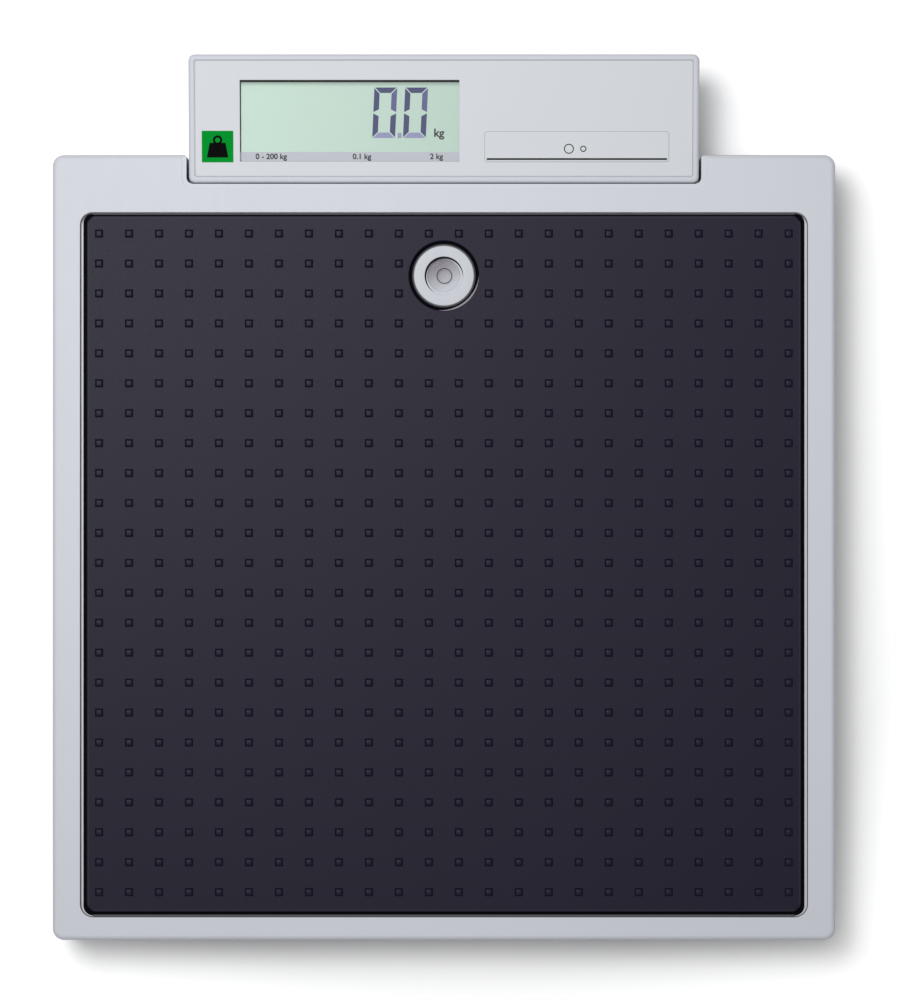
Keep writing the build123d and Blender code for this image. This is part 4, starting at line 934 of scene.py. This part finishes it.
# a pale crescent on the hole's edge at the lower right: a painted highlight where the rounded rubber edge
# catches the light
lipLine = crescent(level["lipRadius"], level["lipWidth"], level["lipAim"], level["lipHalf"], *levelPlace)
holeLip = plate("matHoleLip", [lipLine], matTop - level["lipDepth"], matTop + thin)
settle(holeLip, "edgeGrey", "mat_rubber")
half = level["circleLine"] / 2
circleLines = ringLines(
    level["circleRadius"] + half, level["circleRadius"] - half,
    levelPlace[0] + level["circleShift"], levelPlace[1],
)
circlePiece = plate("levelCircle", circleLines, vialTop, vialTop + overall["ink"])
settle(circlePiece, "inkGrey", "level_grey")
print("level made")


# display: segments, point, unit and the printed strip

display = {
    "lcdDepth": 2.8,
    "digitHeight": 20.3,
    "digitWidth": 9.2,
    "bar": 2.2,
    "gap": 0.27,
    "slant": tan(radians(2.6)),
    "digitPlaces": ((-28.85, 144.75), (-16.48, 144.75)),   # lower left corner seen from above
    "point": (-18.65, -17.05, 144.75, 146.8),
    "unitPlace": (-2.0, 145.3),
    "unitSize": 4.6,
    "unitBold": 0.12,
    "barSlope": 0.62,
    "stripDepth": 2.6,
    "stripTexts": (("0 - 200 kg", -69.5), ("0.1 kg", -33.0), ("2 kg", -3.0)),
    "stripY": 136.35,
    "stripSize": 3.1,
    "stripBold": 0.07,
    "stripLift": 0.01,
    "shadeBoxes": ((88.2, 1.25, -37.88, -10.81), (0.4, 32.8, -81.8, -26.785)),   # width, length, x, y
    "shadeThick": 0.04,
    "glassLeft": (0.531, 0.699, 0.601),
    "glassRight": (0.465, 0.600, 0.525),
    "glassSlope": (-85, 12),
    # painted shade along the display's rear edge, under the window's rear wall
    "glassRim": (165.3, 167.0),
}
finish["lcdGreen"] = liquidCrystal(
    "lcdGreen", display["glassLeft"], display["glassRight"], display["glassSlope"], display["glassRim"],
)
glassTop = -display["lcdDepth"]


def digitBars():
    # the six lit bars of a nought: (outline, ink)
    w, h, b, g = (display[key] for key in ("digitWidth", "digitHeight", "bar", "gap"))
    middle, rise = h / 2, b * display["barSlope"]
    left = [
        ([(0, h - g), (b, h - b - g), (b, middle + rise), (0, middle + g)], "segmentDark"),
        ([(0, middle - g), (b, middle - rise), (b, b + g), (0, g)], "segmentDark"),
    ]
    right = []
    for (outline, _), ink in zip(left, ("segmentMid", "segmentDark")):
        right.append(([(w - x, y) for x, y in outline][::-1], ink))
    top = [([(g, h), (w - g, h), (w - b - g, h - b), (b + g, h - b)], "segmentDark")]
    bottom = [([(g, 0), (b + g, b), (w - b - g, b), (w - g, 0)], "segmentPale")]
    return left + right + top + bottom


def onGlass(x, y):
    return onHead(x, y, display["lcdDepth"])


bars = {}
for cornerX, cornerY in display["digitPlaces"]:
    baseX, baseY = onGlass(cornerX, cornerY)
    for outline, ink in digitBars():
        laid = [(baseX + x + y * display["slant"], baseY + y) for x, y in outline]
        bars.setdefault(ink, []).append(laid)
left, right, low, high = display["point"]
corners = ((left, low), (right, low), (right, high), (left, high))
bars["segmentPale"].append([onGlass(x, y) for x, y in corners])
for ink, outlines in bars.items():
    pieces = [printOn([outline], glassTop) for outline in outlines]
    settle(joined("lcd" + ink[0].upper() + ink[1:], pieces), ink, "lcd_green")
unitX, unitY = onGlass(*display["unitPlace"])
unit = lettering(
    "lcdUnit", "kg", display["unitSize"], unitX, unitY, glassTop + overall["ink"] / 2, headPlace,
    overall["ink"], display["unitBold"],
)
settle(unit, "inkGrey", "lcd_green")
printed = []
stripTop = -display["stripDepth"] + display["stripLift"]
for text, x in display["stripTexts"]:
    place = onHead(x, display["stripY"], display["stripDepth"])
    printed.append(lettering(
        "figures", text, display["stripSize"], *place, stripTop, headPlace, bold=display["stripBold"],
    ))
settle(joined("stripFigures", printed), "inkBlack", "strip_grey")
# black strips at the display's rear and left edges: painted shadow cast by the window's rear and left walls
edges = []
for width, length, x, y in display["shadeBoxes"]:
    line = roundedBox(width, length, 0, x, y)
    edges.append(plate("edge", [line], glassTop, glassTop + display["shadeThick"], place=headPlace))
settle(joined("displayEdge", edges), "inkBlack", "lcd_green")
print("display written")


# front foil with its prints: label, key legend

foil = {
    "width": 199.8,
    "length": 46.285,
    "middle": -25.84,
    "corner": 0.8,
    # the ring of painted shade round the foil
    "seatWidth": 200.35,
    "seatLength": 46.835,
    "seatInset": 1.0,
    "seatCorner": 0.5,
    "thick": 0.25,
    "edge": 0.06,
    "window": (-37.882, -26.785, 88.236, 32.8),
    "depth": 0.2,
    "labelPlace": (-90.97, 141.18),
    "labelSide": 12.7,
    "labelThick": 0.10,
    "labelCorner": 0.25,
    "labelEdge": 0.03,
    "weightLine": ((-4.3, -4.4), (4.3, -4.4), (3.2, 1.5), (-3.2, 1.5)),
    "weightRing": (2.6, 1.9, 1.0),   # height over the label's middle, outer and inner radius
    "keyMiddle": 53.45,
    "keyAlong": -37.185,
    "keyWidth": 74.1,
    "keyLength": 12.2,
    "keyCorner": 1.2,
    "keyGap": 0.045,
    "keyProud": 0.12,
    "keyThick": 1.2,
    "keyEdge": 0.25,
    "stemLow": 4.2,
    "stemRadius": 1.9,
    "lineY": 136.2,
    "lineWidth": 72.5,
    "lineThick": 0.70,
    "legendY": 140.3,
    "legendRings": ((-3.2, 2.0), (2.6, 1.25)),   # x from the key's middle, radius
    "legendLine": 0.38,
}
windowX, windowY, windowWidth, windowLength = foil["window"]
keyPlace = (foil["keyMiddle"], foil["keyAlong"])
foilPiece = plate("frontFoil", [
    roundedBox(foil["width"], foil["length"], foil["corner"], 0, foil["middle"], 8),
    roundedBox(windowWidth, windowLength, 0, windowX, windowY),
    roundedBox(
        foil["keyWidth"] + 2 * foil["keyGap"], foil["keyLength"] + 2 * foil["keyGap"],
        foil["keyCorner"] + foil["keyGap"], *keyPlace, 8,
    ),
], -foil["depth"] - foil["thick"], -foil["depth"], foil["edge"], 3, headPlace)
softShade(foilPiece, 40)
settle(foilPiece, "foilGrey", "foil_grey", "front_foil")
foilUnder = foil["depth"] + foil["thick"]
seatWidth, seatLength, inset = (foil[key] for key in ("seatWidth", "seatLength", "seatInset"))
# a grey ring on the recess floor round the foil, seen through the gap: painted shade where the gap falls into
# shadow
seat = printOn([
    roundedBox(seatWidth, seatLength, foil["corner"], 0, foil["middle"], 8),
    roundedBox(seatWidth - inset, seatLength - inset, foil["seatCorner"], 0, foil["middle"], 8),
], -foilUnder, "foilSeat")
settle(seat, "seatGrey", "foil_grey")
labelX, labelY = onHead(*foil["labelPlace"], foil["depth"])
label = plate(
    "markLabel", [roundedBox(foil["labelSide"], foil["labelSide"], foil["labelCorner"], labelX, labelY, 4)],
    -foil["depth"], -foil["depth"] + foil["labelThick"], foil["labelEdge"], 2, headPlace,
)
settle(label, "labelGreen", "foil_grey")
weightLine = [(labelX + x, labelY + y) for x, y in foil["weightLine"]]
rise, outer, inner = foil["weightRing"]
inkLow = -foil["depth"] + foil["labelThick"]
weight = joined("labelWeight", [
    printOn([weightLine], inkLow), printOn(ringLines(outer, inner, labelX, labelY + rise, 48), inkLow),
])
settle(weight, "inkBlack", "foil_grey")
markLow = foil["keyProud"] - foil["depth"]
keyPlate = plate(
    "keyPlate", [roundedBox(foil["keyWidth"], foil["keyLength"], foil["keyCorner"], *keyPlace, 8)],
    -foil["depth"] - foil["keyThick"], markLow, foil["keyEdge"], 4, headPlace,
)
softShade(keyPlate, 40)
stemRows = [
    (0, -foil["stemLow"]), (foil["stemRadius"], -foil["stemLow"]),
    (foil["stemRadius"], -foil["keyThick"]), (0, -foil["keyThick"]),
]
keyStem = turned("keyStem", stemRows, 24, keyPlace)
keyStem.data.transform(headPlace)
modeKey = joined("modeKey", [keyPlate, keyStem])
settle(modeKey, "foilGrey", "foil_grey", "mode_key", body="mode_key")
keyX, lineY = onHead(foil["keyMiddle"], foil["lineY"], foil["depth"])
legendY = onHead(0, foil["legendY"], foil["depth"])[1]
keyMarks = [printOn([roundedBox(foil["lineWidth"], foil["lineThick"], 0, keyX, lineY)], markLow)]
for x, radius in foil["legendRings"]:
    keyMarks.append(printOn(ringLines(radius, radius - foil["legendLine"], keyX + x, legendY, 48), markLow))
settle(joined("keyLegend", keyMarks), "inkBlack", "foil_grey", body="mode_key")
print("foil printed")


# levelling feet: notched wheel with a threaded stud, rubber pad

foot = {
    "wheelRadius": 15.0,
    "wheelLow": 8.5,
    "wheelHigh": 14.5,
    "wheelEdge": ((2.6, 0, 0), (0.8, 0.15, 0.8), (0.2, 0.55, 0.95), (0, 1.1, 1)),   # in, off the face, notch
    "notches": 14,
    "notchDepth": 1.9,
    "notchHalf": 0.32,
    "notchRound": 0.8,
    "hubRadius": 7.0,
    "hubHigh": 15.7,
    "hubFillet": (0.5, 0.4),   # out, up
    "hubSlope": 0.3,
    "hubLap": 0.1,
    "pegRadius": 3.5,
    "pegBevel": 0.5,
    "pegLow": 3.5,
    "studRadius": 4.0,
    "studTop": 43.3,
    "studBevel": 0.7,
    "threadLift": 0.02,
    "threadTop": 31.9,
    "threadEnd": 0.5,
    "pitch": 1.25,
    "threadDepth": 0.62,
    "threadFlank": 2.4,
    "steps": 84,
    "padRows": (   # radius, height
        (0, 0.7), (4.2, 0.7), (4.7, 0.0), (7.1, 0.0), (7.4, 0.55), (8.2, 0.55), (8.5, 0.0), (10.4, 0.0),
        (10.7, 0.55), (11.5, 0.55), (11.8, 0.0), (13.0, 0.0), (13.6, 0.25), (14.0, 0.9), (14.0, 2.6),
        (13.7, 3.0), (13.7, 3.6), (14.0, 4.0), (14.0, 5.2), (13.7, 5.6), (13.7, 6.2), (14.0, 6.6),
        (14.0, 7.7), (13.7, 8.2), (13.2, 8.48), (3.56, 8.48), (3.56, 3.2), (0, 3.2),
    ),
}


def wheelScallop(turn, height):
    # 0 on a crest, 1 in a notch
    share = (turn * foot["notches"] / (2 * pi)) % 1.0
    return max(0.0, 1 - abs(share - 0.5) / foot["notchHalf"]) ** foot["notchRound"]


def threadForm(turn, height):
    # saw-tooth ridge that climbs one pitch a turn
    share = (height / foot["pitch"] - turn / (2 * pi)) % 1.0
    return min(1.0, foot["threadFlank"] * min(share, 1 - share))


def footPattern(turn, height):
    return wheelScallop(turn, height) if height < foot["hubHigh"] else threadForm(turn, height)


def wheelEdge(face, side):
    # the wheel's edge from a face to its rim; side is 1 at the lower face and -1 at the upper
    return [
        (foot["wheelRadius"] - inset, face + side * rise, foot["notchDepth"] * share)
        for inset, rise, share in foot["wheelEdge"]
    ]


peg, hub, stud = foot["pegRadius"], foot["hubRadius"], foot["studRadius"]
low, high, hubHigh = foot["wheelLow"], foot["wheelHigh"], foot["hubHigh"]
pegBevel, studBevel, (out, up) = foot["pegBevel"], foot["studBevel"], foot["hubFillet"]
wheelRows = [
    (0, foot["pegLow"]), (peg - pegBevel, foot["pegLow"]), (peg, foot["pegLow"] + pegBevel), (peg, low),
    *wheelEdge(low, 1), *wheelEdge(high, -1)[::-1], (hub + out, high), (hub, high + up),
    (hub - foot["hubSlope"], hubHigh), (stud - foot["hubLap"], hubHigh),
]
threadLong = foot["threadTop"] - hubHigh
threadRows = int(threadLong / foot["pitch"] * 6)
for k in range(threadRows + 1):
    height = hubHigh + foot["threadLift"] + threadLong * k / threadRows
    wheelRows.append((stud, height, foot["threadDepth"]))
wheelRows += [
    (stud, foot["threadTop"] + foot["threadEnd"]), (stud, foot["studTop"] - studBevel),
    (stud - studBevel, foot["studTop"]), (0, foot["studTop"]),
]
for (sx, sy), corner in cornerNames.items():
    spot = (sx * overall["footX"], overall["footY"][sy])
    wheel = softShade(turned("footWheel_" + corner, wheelRows, foot["steps"], spot, footPattern), 38)
    settle(wheel, "wheelBlack", "wheel_black", "foot_screw_" + corner, body="foot_screw_" + corner)
    pad = softShade(turned("footPad_" + corner, foot["padRows"], 72, spot), 40)
    settle(pad, "padRubber", "pad_rubber", "foot_pad_" + corner, body="foot_pad_" + corner)
print("feet made")


# case screws, sunk in their wells

screws = {
    "headRadius": 3.95,
    "headHeight": 2.6,
    "hexShare": 0.86,
    "dish": ((0, 0.5), (0.42, 0.5), (0.5, 0.06), (0.8, 0)),   # share of the hexagon, depth
    "hexBevel": 0.3,
    "washer": 0.7,
    "washerBevel": (0.1, 0.12),
    "tip": (1, 0.4),   # length, share of the radius
    "shaftRadius": 2.0,
    "coverSeat": 23.0,
    "coverPlaces": [(sx * 146.9, y) for sx in (-1, 1) for y in (-167.4, 127.4)],
    "coverLength": 16.0,
    "headSeat": 30.0,
    "headPlaces": [(sx * 95.6, y) for sx in (-1, 1) for y in (133.7, 161.0)],
    "headLength": 20.0,
}


def hexagonOff(turn, height):
    # how far a hexagon's side stands inside its circle, as a share of the radius
    part = (turn + pi / 6) % (pi / 3) - pi / 6
    return 1 - cos(pi / 6) / cos(part)


def screwShape(length):
    r, h, w, s = (screws[key] for key in ("headRadius", "headHeight", "washer", "shaftRadius"))
    side = r * screws["hexShare"]
    (inset, rise), (tip, tipShare) = screws["washerBevel"], screws["tip"]
    rows = [(side * share, -h + deep) for share, deep in screws["dish"]]
    rows += [
        (side, -h + screws["hexBevel"], side), (side, -w, side), (r - inset, -w), (r, -w + rise), (r, 0),
        (s, 0), (s, length - tip), (s * tipShare, length), (0, length),
    ]
    return softShade(turned("screwShape", rows, 48, pattern=hexagonOff), 35)


for name, seat, places, length, node in (
    ("coverScrews", screws["coverSeat"], screws["coverPlaces"], screws["coverLength"], "cover_screws"),
    ("headScrews", screws["headSeat"], screws["headPlaces"], screws["headLength"], "head_screws"),
):
    heads = scattered(name, screwShape(length), [(x, y, seat) for x, y in places])
    settle(heads, "screwZinc", "screw_zinc", node)
print("screws set")


# battery cover with grip ridges, and small marks under the tray

under = {
    "ridgeLength": 11.0,
    "ridgeRadius": 0.45,
    "ridgeEnd": ((0, 0), (0.7, 0.12), (1, 0.4)),   # share of the radius, from the end
    "ridgeCount": 4,
    "ridgePitch": 1.7,
    "ridgeY": -118.6,
    "ridgeZ": 18.2,
    "arrowY": -104.0,
    "arrowSize": 5.0,
    "arrowLong": 0.8,
    "arrowHigh": 0.25,
    "arrowEdge": 0.05,
    "unitMarks": (("kg", 25.6), ("lb", 37.4)),
    "unitY": -15.3,
    "unitSize": 3.2,
    "unitThick": 0.1,
}


def ridgeShape():
    half, r = under["ridgeLength"] / 2, under["ridgeRadius"]
    rows = [(r * share, -half + inset) for share, inset in under["ridgeEnd"]]
    rows += [(r * share, half - inset) for share, inset in under["ridgeEnd"][::-1]]
    shape = turned("ridgeShape", rows, 16)
    shape.data.transform(Matrix.Rotation(pi / 2, 4, "Y"))
    return softShade(shape, 50)


softCopy("battery_cover", "batteryCover", "trayGrey", "tray_grey", body="battery_cover")
ridgePlaces = [
    (0, under["ridgeY"] + (k - (under["ridgeCount"] - 1) / 2) * under["ridgePitch"], under["ridgeZ"])
    for k in range(under["ridgeCount"])
]
ridges = scattered("gripRidges", ridgeShape(), ridgePlaces)
settle(ridges, "trayGrey", "tray_grey", body="battery_cover")
size, arrowY, bottom = under["arrowSize"], under["arrowY"], overall["trayBottom"]
arrowLine = [(-size / 2, arrowY), (0, arrowY - size * under["arrowLong"]), (size / 2, arrowY)]
arrow = plate("coverArrow", [arrowLine], bottom - under["arrowHigh"], bottom, under["arrowEdge"], 2)
settle(arrow, "trayGrey", "tray_grey", body="battery_cover")
belowPlace = Matrix.Translation((0, 0, bottom * mm)) @ Matrix.Rotation(pi, 4, "Y")
thick = under["unitThick"]
marks = [
    lettering("unit", text, under["unitSize"], -x, under["unitY"], thick / 2, belowPlace, thick)
    for text, x in under["unitMarks"]
]
settle(joined("unitMarks", marks), "inkGrey", "tray_grey")
print("underside finished")


# the other CAD nodes keep their shape and get their finish

corners = list(cornerNames.values())
dressed = {
    "plateSteel": ["head_bracket"],
    "cellAluminium": ["load_cell_" + corner for corner in corners],
    "gaugeWhite": ["gauge_covers"],
    "trayGrey": ["battery_box"],
    "cellWrap": ["battery_cells"],
    "contactNickel": ["battery_contacts", "battery_springs"],
    "boardGreen": ["main_board", "display_board"],
    "connectorWhite": ["main_board_parts", "display_socket", "lcd_frame"],
    "chipBlack": ["board_chips", "buzzer", "unit_switch_body", "key_switch"],
    "switchWhite": ["switch_plunger", "unit_switch_knob"],
    "leadGrey": ["display_lead", "battery_leads"] + ["cell_lead_" + corner for corner in corners],
    "gasketFoam": ["window_gasket", "contact_strips"],
    "windowClear": ["display_window"],
    "lcdGreen": ["lcd_glass"],
    "stripGrey": ["range_strip"],
}
for material, nodes in dressed.items():
    for node in nodes:
        paint(cadNodes[node], material)
print("carried-over nodes dressed")


# floor, light and camera

studio = {
    "floorReach": 3000,     # from the middle to a side, in millimetres
    "floorColour": (0.80, 0.80, 0.80),
    "floorSeen": 1.15,
    "floorFar": 1.45,
    "floorFarFrom": (0.20, 0.28),
    "skyHorizon": 0.05,
    "skyZenith": 0.35,
    "keyPlace": (-0.26, 0.26, 1.35),
    "keyAim": (-0.08, 0.16, 0.0),
    "keySide": 0.5,
    "keySpread": radians(70),
    "keyPower": 1.6,
    "sunFrom": (-0.12, 0.15, 1.0),
    "sunAngle": radians(19),
    "sunStrength": 0.93,
    "sunHigh": 2.0,
    "sensor": 24.0,
    "cameraFar": 20,
    "cameraHigh": 2.2,
    "cameraAim": (0.00185, -0.00090),
    "frameHigh": 0.4023,     # metres covered by the picture's height, on the platform's top
}

reach = studio["floorReach"]
floorLine = [(x * reach, y * reach, 0) for x, y in ((-1, -1), (1, -1), (1, 1), (-1, 1))]
floorMesh = meshOf("floor", floorLine, [(0, 1, 2, 3)])
floor = newObject("floor", floorMesh)
floorLook, tree = newMaterial("floorPale", studio["floorColour"], roughness=0.9, specular=0.0)
place = shaderNode(tree, "TexCoord").outputs["Object"]
away = shaderNode(tree, "VectorMath", {0: place}, operation="LENGTH")
far = rangeOf(tree, away.outputs["Value"], 0, 1, *studio["floorFarFrom"])
bright = colourBetween(tree, far, (studio["floorSeen"],) * 3, (studio["floorFar"],) * 3)
rays = shaderNode(tree, "LightPath").outputs
seen = largest(tree, [rays["Is Camera Ray"], rays["Is Glossy Ray"]])
wired(floorLook, colourBetween(tree, seen, studio["floorColour"], bright))
floorMesh.materials.append(floorLook)

world = bpy.data.worlds.new("studio")
bpy.context.scene.world = world
world.use_nodes = True
air = world.node_tree
background = air.nodes["Background"]
background.inputs["Color"].default_value = (1, 1, 1, 1)
rays = shaderNode(air, "LightPath").outputs
direction = shaderNode(air, "SeparateXYZ", {0: shaderNode(air, "TexCoord").outputs["Generated"]})
sky = rangeOf(air, direction.outputs["Z"], studio["skyHorizon"], studio["skyZenith"], 0, 1)
seen = largest(air, [rays["Is Camera Ray"], rays["Is Glossy Ray"], rays["Is Transmission Ray"]])
strength = shaderNode(air, "Mix", {0: seen, 2: sky, 3: 1.0}, data_type="FLOAT")
air.links.new(strength.outputs[0], background.inputs["Strength"])


def hungLamp(name, kind, place, aim, values):
    lamp = bpy.data.lights.new(name, kind)
    for key, value in values.items():
        setattr(lamp, key, value)
    hung = newObject(name, lamp)
    hung.location = place
    hung.rotation_euler = (Vector(aim) - Vector(place)).to_track_quat("-Z", "Y").to_euler()


hungLamp("keyPanel", "AREA", studio["keyPlace"], studio["keyAim"], {
    "shape": "SQUARE", "size": studio["keySide"], "energy": studio["keyPower"], "spread": studio["keySpread"],
})
hungLamp("softSun", "SUN", Vector(studio["sunFrom"]) * studio["sunHigh"], (0, 0, 0), {
    "energy": studio["sunStrength"], "angle": studio["sunAngle"],
})

cameraData = bpy.data.cameras.new("camera")
camera = newObject("camera", cameraData)
cameraData.sensor_fit = "VERTICAL"
cameraData.sensor_height = studio["sensor"]
cameraData.lens = studio["sensor"] * studio["cameraHigh"] / studio["frameHigh"]
cameraData.clip_end = studio["cameraFar"]
camera.location = (*studio["cameraAim"], studio["cameraHigh"] + overall["platformTop"] * mm)
bpy.context.scene.camera = camera
bpy.context.scene.view_settings.view_transform = "Standard"
print("studio ready")

bpy.context.view_layer.update()
